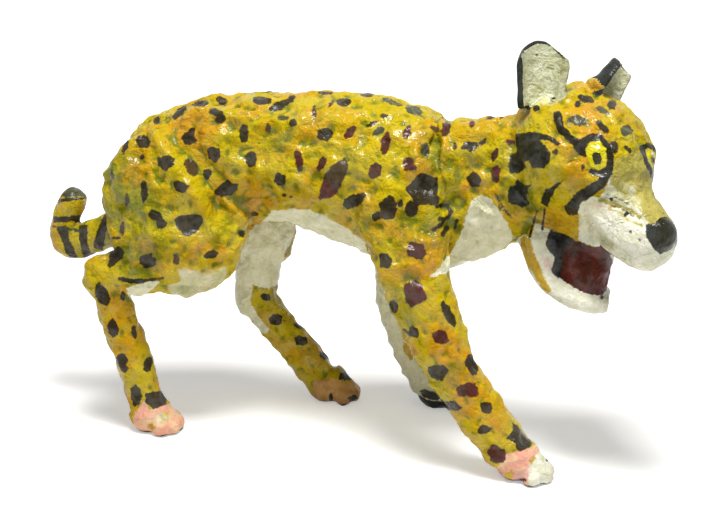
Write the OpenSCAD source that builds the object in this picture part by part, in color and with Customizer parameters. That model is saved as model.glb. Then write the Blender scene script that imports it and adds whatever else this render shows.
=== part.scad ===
// Papier-mache alebrije of a spotted cat: a wire skeleton, crumpled paper bundles tied on it,
// pasted paper skins over the bundles, card ears and small pulp details.
// Millimetres. +X runs towards the nose, +Y to the cat's left, +Z up.
// The origin lies on the table under the middle of the figure.

/* [Body] */
// Length of the body skin from the rump to the neck seam
body_length = 136; // [124:1:148]
// Height of the back above the table
back_height = 138.5; // [130:0.5:146]
// Depth of the chest from the back to the brisket
chest_depth = 62; // [54:1:70]
// Width of the chest
chest_width = 54; // [46:1:62]
// Depth of the waist
waist_depth = 52; // [44:1:60]
// Width of the waist
waist_width = 45; // [38:1:52]
// Depth of the rump
rump_depth = 54; // [46:1:62]
// Width of the rump
rump_width = 50; // [44:1:58]
// Where the rump starts, along the table
rump_x = -99.5; // [-105:0.5:-94]
// Depth of the body at the neck seam
seam_depth = 58; // [52:1:62]
// Width of the body at the neck seam
seam_width = 50; // [44:1:54]

/* [Neck and head] */
// Length of the neck from its seam to its end inside the head
neck_length = 38; // [34:1:44]
// Width of the neck where it enters the head
neck_width = 34; // [30:1:38]
// Depth of the neck where it enters the head
neck_depth = 45; // [40:1:48]
// Rise of the neck's middle from its seam to its end
neck_rise = 12; // [9:0.5:15]
// Swing of the neck to the right from its seam to its end
neck_swing = 8; // [5:0.5:11]
// Length of the head from the back of the skull to the end of the muzzle
head_length = 77; // [70:1:84]
// Width of the head across the cheeks
head_width = 50; // [46:1:56]
// Height of the skull from its crown to the mouth roof
skull_height = 49; // [45:1:54]
// Width of the muzzle behind the nose
muzzle_width = 24; // [20:1:28]
// Height of the muzzle behind the nose
muzzle_height = 23; // [19:1:26]
// Step of the skull's middle ahead of the neck's end
head_ahead = 16.5; // [13:0.5:20]
// Rise of the skull's middle above the neck's end
head_rise = 7.5; // [5:0.5:10]
// Shift of the skull's middle to the right of the neck's end
head_shift = 2; // [0:0.5:4]
// Turn of the head towards the right shoulder
head_turn = 36; // [30:1:42]
// Drop of the muzzle below level
head_drop = 15; // [10:1:20]
// Lean of the head to its left
head_lean = 5; // [2:1:8]

/* [Mouth, eyes, ears] */
// Length of the lower jaw in front of the cheek
jaw_length = 33; // [28:1:38]
// Width of the lower jaw
jaw_width = 30; // [26:1:36]
// Height of the lower jaw's trough behind the lip
jaw_height = 11; // [9:0.5:13]
// Drop from the mouth roof to the middle of the lower jaw's tip
mouth_gap = 22.5; // [20:0.5:25]
// Diameter of the nose pad
nose_d = 12.5; // [11:0.5:14]
// Diameter of an eye lens
eye_d = 8; // [6.5:0.5:9.5]
// Thickness of an eye lens
eye_t = 3.2; // [2.6:0.2:3.8]
// Height of an ear above the skull
ear_height = 20.5; // [18.5:0.5:23]
// Width of an ear
ear_width = 19; // [16:1:22]
// Thickness of the ear card
ear_t = 1.8; // [1.2:0.1:2.6]

/* [Legs and paws] */
// Thickness of a foreleg at the elbow
foreleg_d = 24; // [21:0.5:26]
// Thickness of a foreleg at the ankle
fore_ankle_d = 18; // [15:0.5:19]
// Thickness of a hind leg below the hock
hind_leg_d = 14.5; // [12.5:0.5:16]
// Front-to-back size of the right thigh
thigh_length = 57; // [50:1:62]
// Height of the right thigh
thigh_height = 62.5; // [58:0.5:67]
// Thickness of the right thigh across the cat
thigh_width = 21; // [18:0.5:24]
// Reach of the right hock behind the hip
hock_reach = 28.5; // [26:0.5:31]
// Length of a paw
paw_length = 22; // [18:1:26]
// Width of a paw
paw_width = 17.5; // [15.5:0.5:20]
// Step of the right fore paw ahead of the shoulder
right_fore_step = 54; // [48:1:58]
// Step of the left fore paw ahead of the shoulder
left_fore_step = 8; // [2:1:14]
// Step of the right hind paw behind the hip
right_hind_step = 10; // [6:1:14]
// Step of the left hind paw ahead of the hip
left_hind_step = 51; // [45:1:56]
// Half of the fore paws' stance across the cat
fore_stance = 33; // [30:0.5:36]
// Distance of the right hind paw from the middle plane
right_hind_stance = 24; // [22:0.5:28]
// Distance of the left hind paw from the middle plane
left_hind_stance = 27.5; // [25:0.5:30]

/* [Tail] */
// Thickness of the tail at the root
tail_root_d = 15; // [12:0.5:17]
// Thickness of the tail at the tip
tail_tip_d = 11; // [9:0.5:13]
// Reach of the tail behind the rump
tail_reach = 25; // [21:1:29]
// Rise of the tail's hooked end
tail_rise = 18; // [15:1:21]
// Dip of the tail below its root before the hook
tail_dip = 9.5; // [7:0.5:12]
// Swing of the tail's end to the left
tail_swing = 3; // [1:0.5:5]

/* [Construction] */
// Thickness of the pasted paper skin
skin_wall = 2.4; // [1.8:0.1:3]
// Diameter of the skeleton wire
wire_d = 2; // [1.6:0.1:2.4]
// Paste line between two glued pieces
paste_gap = 0.2; // [0.1:0.05:0.3]
// Diameter of the tape wrapped round a wire crossing
tape_d = 11; // [9:0.5:13]
// Length of the tape wrapped round a wire crossing
tape_length = 14; // [10:1:18]
// Depth of the wire's end inside a paw
wire_bite = 5; // [3:0.5:6]

/* [Hidden] */
big = 400;
RIGHT = -1;
LEFT = 1;

// Colours of the paper, paint and wire
coat = "#d9a21b";
bare_paper = "#d8d3c4";
wire_grey = "#8d9094";
tape_tan = "#d9c48f";
white_coat = "#e9e6d8";
pad_pink = "#eba893";
black_paint = "#232321";
mouth_red = "#6d1a22";
eye_yellow = "#f0e21e";

// Curves and lofts. A key is [x, y, z, half width, half height] of one cross-section.
function unit(v) = v / norm(v);
function place(key) = [key[0], key[1], key[2]];
function spline(keys, t) =
    let (last = len(keys) - 1, s = min(t * last, last - 0.00001), i = floor(s), f = s - i,
         a = keys[max(i - 1, 0)], b = keys[i], c = keys[i + 1], d = keys[min(i + 2, last)])
    (2 * b + (c - a) * f + (2 * a - 5 * b + 4 * c - d) * f ^ 2 + (3 * b - a - 3 * c + d) * f ^ 3) / 2;
function heading(keys, t) =
    unit(place(spline(keys, min(t + 0.01, 1))) - place(spline(keys, max(t - 0.01, 0))));
// The direction across the path at each stop, carried along it without a twist
function carried(headings, i, level) =
    let (across = unit(level - headings[i] * (headings[i] * level)))
    i == len(headings) - 1 ? [across] : concat([across], carried(headings, i + 1, across));
// An ellipse square to the path: its width across, its height in the plane of the path
least = 0.3;
function ring(key, along, across, sides, grow, turn) =
    let (up = cross(along, across), wide = max(key[3] + grow, least), tall = max(key[4] + grow, least))
    [for (i = [0:sides - 1])
        let (angle = 360 * i / sides + turn)
        place(key) + across * wide * cos(angle) + up * tall * sin(angle)];
// One closed form through the keys, with flat ends; each ring is turned half a side on from the last
module loft(keys, steps, sides, grow = 0) {
    headings = [for (i = [0:steps]) heading(keys, i / steps)];
    across = carried(headings, 0, [0, 1, 0]);
    points = [for (i = [0:steps])
        each ring(spline(keys, i / steps), headings[i], across[i], sides, grow, 180 * i / sides)];
    start_cap = [for (j = [0:sides - 1]) j];
    end_cap = [for (j = [sides - 1:-1:0]) steps * sides + j];
    wall = [for (i = [0:steps - 1]) for (j = [0:sides - 1])
        let (a = i * sides + j, b = i * sides + (j + 1) % sides)
        each [[a, a + sides, b], [b, a + sides, b + sides]]];
    polyhedron(points, concat([start_cap], wall, [end_cap]));
}
// The half of space beyond a point, square to a direction
module beyond(point, along)
    translate(point) rotate([0, acos(along[2]), atan2(along[1], along[0])])
        translate([-big / 2, -big / 2, 0]) cube(big);

// Body: the drop of the back line is a share of the back's height
function body_key(share, drop, depth, width) =
    [rump_x + share * body_length, 0, (1 - drop) * back_height - depth / 2, width / 2, depth / 2];
torso_keys = [
    body_key(0.000, 0.303, 0.06 * rump_depth, 0.08 * rump_width),
    body_key(0.012, 0.245, 0.37 * rump_depth, 0.44 * rump_width),
    body_key(0.055, 0.188, 0.62 * rump_depth, 0.72 * rump_width),
    body_key(0.130, 0.123, 0.87 * rump_depth, 0.90 * rump_width),
    body_key(0.240, 0.058, rump_depth, rump_width),
    body_key(0.385, 0.022, 0.5 * (rump_depth + waist_depth), 0.5 * (rump_width + waist_width)),
    body_key(0.530, 0.004, waist_depth, waist_width),
    body_key(0.675, 0.000, 0.55 * waist_depth + 0.45 * chest_depth, 0.6 * waist_width + 0.4 * chest_width),
    body_key(0.805, 0.004, 0.97 * chest_depth, chest_width),
    body_key(0.905, 0.029, chest_depth, chest_width),
    body_key(1.000, 0.058, seam_depth, seam_width)
];
body_sides = 20;
core_sides = 12;
seam_x = rump_x + body_length;
// The two skins part a little ahead of the seam ring, clear of the withers that lean over it
skin_cut = seam_x + 0.08 * seam_depth;
seam_key = torso_keys[len(torso_keys) - 1];
// Neck: it goes on from the seam ring and ends inside the head
neck_end = seam_key + [neck_length, -neck_swing, neck_rise,
                       (neck_width - seam_width) / 2, (neck_depth - seam_depth) / 2];
body_keys = concat(torso_keys, [
    0.68 * seam_key + 0.32 * neck_end + [0, 0.12 * neck_swing, 0, -0.01 * seam_width, 0],
    0.34 * seam_key + 0.66 * neck_end + [0, 0, 0, -0.01 * seam_width, -0.01 * seam_depth],
    neck_end]);
body_steps = 2 * (len(body_keys) - 1);
module body_form(grow = 0) loft(body_keys, body_steps, body_sides, grow);
// The hollow stops a wall short of the rump and runs out through the end of the neck
neck_heading = heading(body_keys, 1);
hollow_keys = concat(
    [for (i = [0:len(body_keys) - 1])
        i == 0 ? body_keys[i] + [skin_wall, 0, 0, skin_wall - 1, skin_wall - 0.5]
               : body_keys[i] + [i < 3 ? skin_wall : 0, 0, 0, 0, 0]],
    [neck_end + concat(2 * skin_wall * neck_heading, [0, 0])]);
core_steps = len(hollow_keys) - 2;
module body_hollow(gap) loft(hollow_keys, core_steps, core_sides, -skin_wall - gap);

// Head, drawn about the middle of the skull with the muzzle along +X
module at_head() translate(head_at) rotate([-head_lean, head_drop, -head_turn]) children();
head_at = place(neck_end) + [head_ahead, -head_shift, head_rise];
skull_back = -0.35 * head_length;
mouth_roof = -0.46 * skull_height;
function head_key(share, rise, width, height) =
    [skull_back + share * head_length, 0, rise * skull_height, width / 2, height / 2];
head_keys = [
    head_key(0.000, 0.041, 0.10 * head_width, 0.12 * skull_height),
    head_key(0.030, 0.041, 0.50 * head_width, 0.50 * skull_height),
    head_key(0.150, 0.041, 0.84 * head_width, 0.88 * skull_height),
    head_key(0.310, 0.031, head_width, skull_height),
    head_key(0.450, 0.000, 0.97 * head_width, 0.98 * skull_height),
    head_key(0.555, -0.061, 0.81 * head_width, 0.83 * skull_height),
    head_key(0.640, -0.143, 0.60 * head_width, 0.66 * skull_height),
    head_key(0.730, -0.204, 1.10 * muzzle_width, 0.5 * muzzle_height + 0.30 * skull_height),
    head_key(0.830, -0.245, 1.04 * muzzle_width, 1.06 * muzzle_height),
    head_key(0.930, -0.265, 0.94 * muzzle_width, 0.94 * muzzle_height),
    head_key(0.985, -0.265, 0.66 * muzzle_width, 0.66 * muzzle_height),
    head_key(1.000, -0.265, 0.17 * muzzle_width, 0.17 * muzzle_height)
];
head_steps = 20;
head_sides = 20;
muzzle_x = skull_back + 0.69 * head_length;
module head_form(grow = 0) loft(head_keys, head_steps, head_sides, grow);
// The skull's hollow stops before the muzzle
HOLLOW_END = 5;
hollow_end_x = head_keys[HOLLOW_END][0];
skull_hollow_keys = [for (i = [0:HOLLOW_END]) head_keys[i] + [i < 2 ? skin_wall : 0, 0, 0, 0, 0]];
module skull_hollow(gap) loft(skull_hollow_keys, 10, 12, -skin_wall - gap);

// Lower jaw: a trough that hangs from the cheeks, drawn in the head's own frame
jaw_root = skull_back + 0.36 * head_length;
function jaw_key(share, hang, width, height) =
    [jaw_root + share * jaw_length, 0, mouth_roof - hang * mouth_gap, width / 2, height / 2];
jaw_keys = [
    jaw_key(-0.20, 0.40, 0.82 * jaw_width, 1.45 * jaw_height),
    jaw_key(0.05, 0.72, jaw_width, 1.40 * jaw_height),
    jaw_key(0.40, 0.99, jaw_width, jaw_height),
    jaw_key(0.70, 1.04, 0.84 * jaw_width, 0.82 * jaw_height),
    jaw_key(0.92, 1.02, 0.58 * jaw_width, 0.62 * jaw_height),
    jaw_key(1.00, 1.00, 0.22 * jaw_width, 0.25 * jaw_height)
];
scoop_keys = [for (key = jaw_keys) key + [0, 0, 0.48 * jaw_height, 0, 0]];
module jaw_form(grow = 0) loft(jaw_keys, 8, 16, grow);
module jaw_scoop() loft(scoop_keys, 8, 12, -skin_wall);

// Eyes and ears in the head's own frame
eye_at = [skull_back + 0.617 * head_length, 0.290 * head_width, 0.225 * skull_height];
eye_bow = (eye_d ^ 2 + eye_t ^ 2) / (4 * eye_t);
module at_eye(side)
    translate([eye_at[0], side * eye_at[1], eye_at[2]]) rotate([0, 66, side * 44]) children();
module eye_lens(gap = 0)
    intersection_for (face = [-1, 1])
        translate([0, 0, face * (eye_bow - eye_t / 2)]) sphere(eye_bow + gap, $fn = 20);
// Each ear was set by hand: the right one stands further back than the left one
function ear_at(side) = side == RIGHT
    ? [skull_back + 0.155 * head_length, -0.28 * head_width, 0.39 * skull_height]
    : [skull_back + 0.21 * head_length, 0.155 * head_width, 0.45 * skull_height];
function ear_pose(side) = side == RIGHT ? [10, -14, -42] : [-30, 0, 10];
// The right ear flares upwards, the left one is shorter and closes towards its tip
function ear_rise(side) = side == RIGHT ? ear_height : 0.76 * ear_height;
function ear_base_r(side) = side == RIGHT ? 0.36 * ear_width : 0.48 * ear_width;
function ear_top_r(side) = side == RIGHT ? 0.50 * ear_width : 0.30 * ear_width;
ear_root = 0.19 * ear_height;
module at_ear(side) translate(ear_at(side)) rotate(ear_pose(side)) children();
module ear_cone(side, grow)
    translate([ear_base_r(side), 0, -ear_root])
        cylinder(h = ear_rise(side) + ear_root, r1 = ear_base_r(side) + grow,
                 r2 = ear_top_r(side) + grow, $fn = 28);
// A cupped petal of card, open towards the muzzle, with a tab that enters the skull
module ear_card(side, gap = 0)
    intersection() {
        difference() {
            ear_cone(side, ear_t / 2 + gap);
            translate([0, 0, -0.01]) scale([1, 1, 1.001]) ear_cone(side, -ear_t / 2 - gap);
        }
        rotate([90, 0, 90]) translate([0, 0, -ear_width]) linear_extrude(ear_width + ear_base_r(side)) {
            translate([0, ear_rise(side) - ear_width / 2]) circle(ear_width / 2 + gap, $fn = 28);
            translate([-ear_width / 2 - ear_t - gap, -ear_root - gap])
                square([ear_width + 2 * ear_t + 2 * gap, ear_rise(side) - ear_width / 2 + ear_root + gap]);
        }
    }

// Legs: each path runs from inside the body down to the ankle
ankle_rise = 0.5 * paw_width;
function limb_key(point, across, along) = [point[0], point[1], point[2], across / 2, along / 2];
shoulder_share = 0.905;
hip_share = 0.244;
shoulder_x = rump_x + shoulder_share * body_length;
hip_x = rump_x + hip_share * body_length;
function shoulder_point(side) = [shoulder_x, side * 0.36 * chest_width, 0.80 * back_height];
right_fore_heel = [shoulder_x + right_fore_step, -fore_stance, 0];
left_fore_heel = [shoulder_x + left_fore_step, fore_stance, 0];
right_hind_heel = [hip_x - right_hind_step, -right_hind_stance, 0];
left_hind_heel = [hip_x + left_hind_step, left_hind_stance, 0];
function ankle(heel, back) = heel + [-back * paw_length, 0, ankle_rise];
right_fore_ankle = ankle(right_fore_heel, 0.23);
left_fore_ankle = ankle(left_fore_heel, 0.23);
right_hind_ankle = ankle(right_hind_heel, 0.09);
left_hind_ankle = ankle(left_hind_heel, 0.23);
right_elbow = [shoulder_x + 0.185 * right_fore_step, -0.56 * chest_width, 0.54 * back_height];
left_elbow = [shoulder_x - 0.5 * left_fore_step, 0.54 * chest_width, 0.54 * back_height];
right_hock = [hip_x - hock_reach, -right_hind_stance - 0.1 * hind_leg_d, 0.465 * back_height];
left_hock = [hip_x + 0.33 * left_hind_step, 0.96 * left_hind_stance, 0.315 * back_height];

// A foreleg in one run from the shoulder to the ankle; the elbow is its fourth key
function foreleg_keys(side, elbow, foot, bow) = [
    limb_key(shoulder_point(side) + [0, -side * 0.10 * chest_width, 0.085 * back_height],
             0.33 * foreleg_d, 0.58 * foreleg_d),
    limb_key(shoulder_point(side), 0.71 * foreleg_d, 1.58 * foreleg_d),
    limb_key(0.5 * shoulder_point(side) + 0.5 * elbow + foreleg_d * [0.04, side * 0.06, 0],
             0.79 * foreleg_d, 1.38 * foreleg_d),
    limb_key(elbow, 0.86 * foreleg_d, 1.1 * foreleg_d),
    limb_key(0.68 * elbow + 0.32 * foot - [bow * foreleg_d, 0, 0], 0.84 * foreleg_d, 0.92 * foreleg_d),
    limb_key(0.36 * elbow + 0.64 * foot - [bow * foreleg_d, 0, 0], fore_ankle_d, 1.05 * fore_ankle_d),
    limb_key(foot, 0.96 * fore_ankle_d, fore_ankle_d)
];
ELBOW = 3;
right_foreleg_keys = foreleg_keys(RIGHT, right_elbow, right_fore_ankle, 0.18);
left_foreleg_keys = foreleg_keys(LEFT, left_elbow, left_fore_ankle, 0.33);

// Thighs: drops are shares of the thigh's height below its top, the left knee follows its step
thigh_top = 0.884 * back_height;
function thigh_key(side, ahead, out, drop, thick, long) =
    limb_key([hip_x + ahead, side * out * rump_width, thigh_top - drop * thigh_height],
             thick * thigh_width, long * thigh_length);
right_thigh_keys = [
    thigh_key(RIGHT, 0.05 * thigh_length, 0.24, 0.00, 0.38, 0.45),
    thigh_key(RIGHT, 0.00 * thigh_length, 0.40, 0.22, 0.81, 0.90),
    thigh_key(RIGHT, 0.02 * thigh_length, 0.43, 0.51, 1.00, 1.00),
    thigh_key(RIGHT, 0.02 * thigh_length, 0.47, 0.75, 0.95, 0.88),
    thigh_key(RIGHT, 0.00 * thigh_length, 0.50, 0.91, 0.71, 0.62),
    thigh_key(RIGHT, -0.02 * thigh_length, 0.52, 1.00, 0.29, 0.22)
];
left_thigh_keys = [
    thigh_key(LEFT, 0.16 * left_hind_step, 0.27, 0.03, 0.38, 0.40),
    thigh_key(LEFT, 0.24 * left_hind_step, 0.40, 0.29, 0.76, 0.74),
    thigh_key(LEFT, 0.37 * left_hind_step, 0.44, 0.58, 0.86, 0.66),
    thigh_key(LEFT, 0.45 * left_hind_step, 0.48, 0.80, 0.76, 0.46),
    thigh_key(LEFT, 0.41 * left_hind_step, 0.51, 0.96, 0.67, 0.34)
];
right_knee = [hip_x + 0.07 * thigh_length, -0.50 * rump_width, thigh_top - 0.80 * thigh_height];
left_knee = [hip_x + 0.43 * left_hind_step, 0.48 * rump_width, thigh_top - 0.80 * thigh_height];
// A hind leg in two runs that meet in the hock: a shank out of the thigh, and the leg below it
function shank_keys(knee, hock) = [
    limb_key(knee, 1.25 * hind_leg_d, 1.35 * hind_leg_d),
    limb_key(0.45 * knee + 0.55 * hock, 1.15 * hind_leg_d, 1.30 * hind_leg_d),
    limb_key(hock, 1.08 * hind_leg_d, 1.15 * hind_leg_d),
    limb_key(hock + 0.38 * hind_leg_d * unit(hock - knee), 0.88 * hind_leg_d, 0.90 * hind_leg_d),
    limb_key(hock + 0.58 * hind_leg_d * unit(hock - knee), 0.40 * hind_leg_d, 0.40 * hind_leg_d)
];
function cannon_keys(hock, foot) = [
    limb_key(hock + 0.46 * hind_leg_d * unit(hock - foot), 0.45 * hind_leg_d, 0.45 * hind_leg_d),
    limb_key(hock + 0.25 * hind_leg_d * unit(hock - foot), 0.78 * hind_leg_d, 0.85 * hind_leg_d),
    limb_key(hock + 0.15 * hind_leg_d * unit(foot - hock), 0.94 * hind_leg_d, 1.10 * hind_leg_d),
    limb_key(0.72 * hock + 0.28 * foot, 0.92 * hind_leg_d, 0.98 * hind_leg_d),
    limb_key(0.45 * hock + 0.55 * foot, 0.94 * hind_leg_d, 0.96 * hind_leg_d),
    limb_key(foot, 1.02 * hind_leg_d, 1.06 * hind_leg_d)
];
limb_sides = 14;
fore_steps = 11;
thigh_steps = 10;
shank_steps = 7;
cannon_steps = 12;
module hind_leg_run(knee, hock, foot) {
    loft(shank_keys(knee, hock), shank_steps, limb_sides);
    loft(cannon_keys(hock, foot), cannon_steps, limb_sides);
}

// Tail: a root that runs down and back out of the rump, and a hook that turns up from its end
tail_root = [rump_x + 0.2 * tail_root_d, 0, 0.567 * back_height];
function tail_point(back, swing, rise) = tail_root + [-back * tail_reach, swing * tail_swing, rise];
function tail_key(back, swing, rise, size) = limb_key(tail_point(back, swing, rise), size, size);
root_keys = [
    tail_key(0.00, 0.00, 0, tail_root_d),
    tail_key(0.48, 0.33, -0.53 * tail_dip, 0.95 * tail_root_d),
    tail_key(0.90, 0.67, -tail_dip, 0.86 * tail_root_d),
    tail_key(1.12, 0.80, -1.10 * tail_dip, 0.70 * tail_root_d),
    tail_key(1.24, 0.85, -1.10 * tail_dip, 0.30 * tail_root_d)
];
hook_keys = [
    tail_key(1.06, 0.83, -1.50 * tail_dip, 0.40 * tail_tip_d),
    tail_key(1.10, 0.83, -1.25 * tail_dip, 0.86 * tail_tip_d),
    tail_key(1.14, 0.85, -0.65 * tail_dip, 1.02 * tail_tip_d),
    tail_key(1.10, 1.00, 0.05 * tail_rise, 1.00 * tail_tip_d),
    tail_key(0.97, 1.00, 0.42 * tail_rise, 1.04 * tail_tip_d),
    tail_key(0.95, 1.00, 0.60 * tail_rise, 0.92 * tail_tip_d),
    tail_key(0.94, 1.00, 0.74 * tail_rise, 0.40 * tail_tip_d)
];
tail_sides = 12;
module tail_run(gap = 0) {
    loft(root_keys, 8, tail_sides, gap);
    loft(hook_keys, 10, tail_sides, gap);
}

// Skeleton: a spine wire from the tail to the skull, and one bent wire for each pair of legs
wire_sides = 6;
function wire_key(point) = [point[0], point[1], point[2], wire_d / 2, wire_d / 2];
function spine_point(share, drop) = wire_key([rump_x + share * body_length, 0, (1 - drop) * back_height]);
spine_keys = concat(
    [for (i = [4, 3, 2]) wire_key(place(hook_keys[i]))],
    [for (i = [2, 1, 0]) wire_key(place(root_keys[i]))],
    [spine_point(0.12, 0.275), spine_point(hip_share, 0.195)],
    [spine_point(0.58, 0.173), spine_point(shoulder_share, 0.21)],
    [wire_key(place(neck_end) + [-0.21 * neck_length, 0, 0.09 * neck_depth])],
    [wire_key(head_at + [-0.05 * head_length, 0, 0.08 * skull_height])]);
hip_crossing = place(spine_keys[7]);
shoulder_crossing = place(spine_keys[9]);
// The end of a leg wire: straight through the ankle and into the paw
wire_lead = 2 * wire_d;
function wire_end(keys) =
    let (foot = place(keys[len(keys) - 1]), down = heading(keys, 1))
    [wire_key(foot + wire_bite * down), wire_key(foot), wire_key(foot - wire_lead * down)];
function leg_points(keys) = [for (i = [1:len(keys) - 2]) wire_key(place(keys[i]))];
function reversed(list) = [for (i = [len(list) - 1:-1:0]) list[i]];
function leg_wire_keys(right_keys, crossing, left_keys) = concat(
    wire_end(right_keys), reversed(leg_points(right_keys)),
    [wire_key(crossing + [0, 0, wire_d + paste_gap])],
    leg_points(left_keys), reversed(wire_end(left_keys)));
fore_wire_keys = leg_wire_keys(right_foreleg_keys, shoulder_crossing, left_foreleg_keys);
function hind_path(thigh_keys, knee, hock, foot) =
    let (shank = shank_keys(knee, hock), cannon = cannon_keys(hock, foot))
    [thigh_keys[0], thigh_keys[1], shank[0], shank[1], cannon[2], cannon[3], cannon[4], cannon[5]];
hind_wire_keys = leg_wire_keys(
    hind_path(right_thigh_keys, right_knee, right_hock, right_hind_ankle), hip_crossing,
    hind_path(left_thigh_keys, left_knee, left_hock, left_hind_ankle));
module spine_run(gap = 0) loft(spine_keys, 33, wire_sides, gap);
module fore_wire_run(gap = 0) loft(fore_wire_keys, 30, wire_sides, gap);
module hind_wire_run(gap = 0) loft(hind_wire_keys, 37, wire_sides, gap);
module wires(gap) {
    spine_run(gap);
    fore_wire_run(gap);
    hind_wire_run(gap);
}
module spine_wire() color(wire_grey) spine_run();
module fore_leg_wire() color(wire_grey) fore_wire_run();
module hind_leg_wire() color(wire_grey) hind_wire_run();
module tape_at(crossing, gap = 0)
    translate(crossing + [0, 0, wire_d / 2])
        rotate([0, 90, 0]) cylinder(h = tape_length + 2 * gap, d = tape_d + 2 * gap, center = true, $fn = 24);
module shoulder_tape() color(tape_tan) difference() {
    tape_at(shoulder_crossing);
    wires(paste_gap);
}
module hip_tape() color(tape_tan) difference() {
    tape_at(hip_crossing);
    wires(paste_gap);
}

// Paper bundles that fill the skins
module bundle(low, high) color(bare_paper) difference() {
    body_hollow(paste_gap);
    beyond([low, 0, 0], [-1, 0, 0]);
    beyond([high - paste_gap, 0, 0], [1, 0, 0]);
    beyond(place(neck_end), neck_heading);
    wires(paste_gap);
    tape_at(shoulder_crossing, paste_gap);
    tape_at(hip_crossing, paste_gap);
}
rump_end = rump_x + 0.36 * body_length;
waist_end = rump_x + 0.68 * body_length;
module rump_bundle() bundle(rump_x + 2 * skin_wall, rump_end);
module waist_bundle() bundle(rump_end, waist_end);
module chest_bundle() bundle(waist_end, seam_x);
module neck_bundle() bundle(seam_x, neck_end[0] + neck_depth);
module head_bundle() color(bare_paper) difference() {
    at_head() skull_hollow(paste_gap);
    body_form(paste_gap);
    wires(paste_gap);
    at_head() {
        mouth_room();
        beyond([hollow_end_x - paste_gap, 0, 0], [1, 0, 0]);
        for (side = [RIGHT, LEFT]) at_ear(side) ear_card(side, paste_gap);
    }
}

// Skins
module torso_skin() color(coat) difference() {
    body_form();
    body_hollow(0);
    beyond([skin_cut - paste_gap, 0, 0], [1, 0, 0]);
    wires(paste_gap);
}
module neck_skin() color(coat) difference() {
    body_form();
    body_hollow(0);
    beyond([skin_cut, 0, 0], [-1, 0, 0]);
}
// The room between the jaws, cut out of the head under the mouth roof
module mouth_room()
    translate([jaw_root + 0.15 * jaw_length, -big / 2, mouth_roof - big]) cube(big);
module head_skin() color(coat) difference() {
    at_head() head_form();
    at_head() skull_hollow(0);
    body_form(paste_gap);
    at_head() {
        mouth_room();
        beyond([muzzle_x, 0, 0], [1, 0, 0]);
        for (side = [RIGHT, LEFT]) {
            at_eye(side) eye_lens(paste_gap);
            at_ear(side) ear_card(side, paste_gap);
        }
    }
}
module muzzle() color(white_coat) at_head() difference() {
    head_form();
    mouth_room();
    beyond([muzzle_x + paste_gap, 0, 0], [-1, 0, 0]);
    nose_ball(paste_gap);
}
nose_at = [skull_back + 0.945 * head_length, 0, 0.2 * muzzle_height - 0.265 * skull_height];
module nose_ball(gap = 0) translate(nose_at) sphere(d = nose_d + 2 * gap, $fn = 24);
module nose() color(black_paint) at_head() nose_ball();
module lower_jaw() color(white_coat) difference() {
    at_head() difference() {
        jaw_form();
        jaw_scoop();
        head_form(paste_gap);
    }
    body_form(paste_gap);
}
module lining_disc(point, share)
    translate(point) cylinder(h = 0.2 * jaw_height, d = share * jaw_width, $fn = 18);
module mouth_lining() color(mouth_red) at_head() difference() {
    hull() {
        lining_disc([jaw_root + 0.24 * jaw_length, 0, mouth_roof + 0.16 * mouth_gap], 0.74);
        lining_disc([jaw_root + 0.56 * jaw_length, 0, mouth_roof + 0.12 * mouth_gap], 0.50);
        lining_disc(place(jaw_keys[2]) - [0.12 * jaw_length, 0, 0], 0.72);
        lining_disc(place(jaw_keys[3]) - [0.03 * jaw_length, 0, 0], 0.50);
    }
    head_form(paste_gap);
    jaw_form(paste_gap);
}
module right_eye() color(eye_yellow) at_head() at_eye(RIGHT) eye_lens();
module left_eye() color(eye_yellow) at_head() at_eye(LEFT) eye_lens();
module right_ear() color(black_paint) at_head() at_ear(RIGHT) ear_card(RIGHT);
module left_ear() color(black_paint) at_head() at_ear(LEFT) ear_card(LEFT);

// Limbs
module foreleg_run(keys) difference() {
    loft(keys, fore_steps, limb_sides);
    body_form(paste_gap);
    fore_wire_run(paste_gap);
}
function elbow_heading(keys) = heading(keys, ELBOW / (len(keys) - 1));
module shoulder(keys) color(coat) difference() {
    foreleg_run(keys);
    beyond(place(keys[ELBOW]) - paste_gap * elbow_heading(keys), elbow_heading(keys));
}
module foreleg(keys) color(coat) difference() {
    foreleg_run(keys);
    beyond(place(keys[ELBOW]), -elbow_heading(keys));
}
module thigh(keys) color(coat) difference() {
    loft(keys, thigh_steps, limb_sides + 4);
    body_form(paste_gap);
    hind_wire_run(paste_gap);
    tail_run(paste_gap);
}
module hind_leg(knee, hock, foot, thigh_keys) color(coat) difference() {
    hind_leg_run(knee, hock, foot);
    loft(thigh_keys, thigh_steps, limb_sides + 4, paste_gap);
    body_form(paste_gap);
    hind_wire_run(paste_gap);
}
module right_shoulder() shoulder(right_foreleg_keys);
module left_shoulder() shoulder(left_foreleg_keys);
module right_foreleg() foreleg(right_foreleg_keys);
module left_foreleg() foreleg(left_foreleg_keys);
module right_thigh() thigh(right_thigh_keys);
module left_thigh() thigh(left_thigh_keys);
module right_hind_leg() hind_leg(right_knee, right_hock, right_hind_ankle, right_thigh_keys);
module left_hind_leg() hind_leg(left_knee, left_hock, left_hind_ankle, left_thigh_keys);

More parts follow.
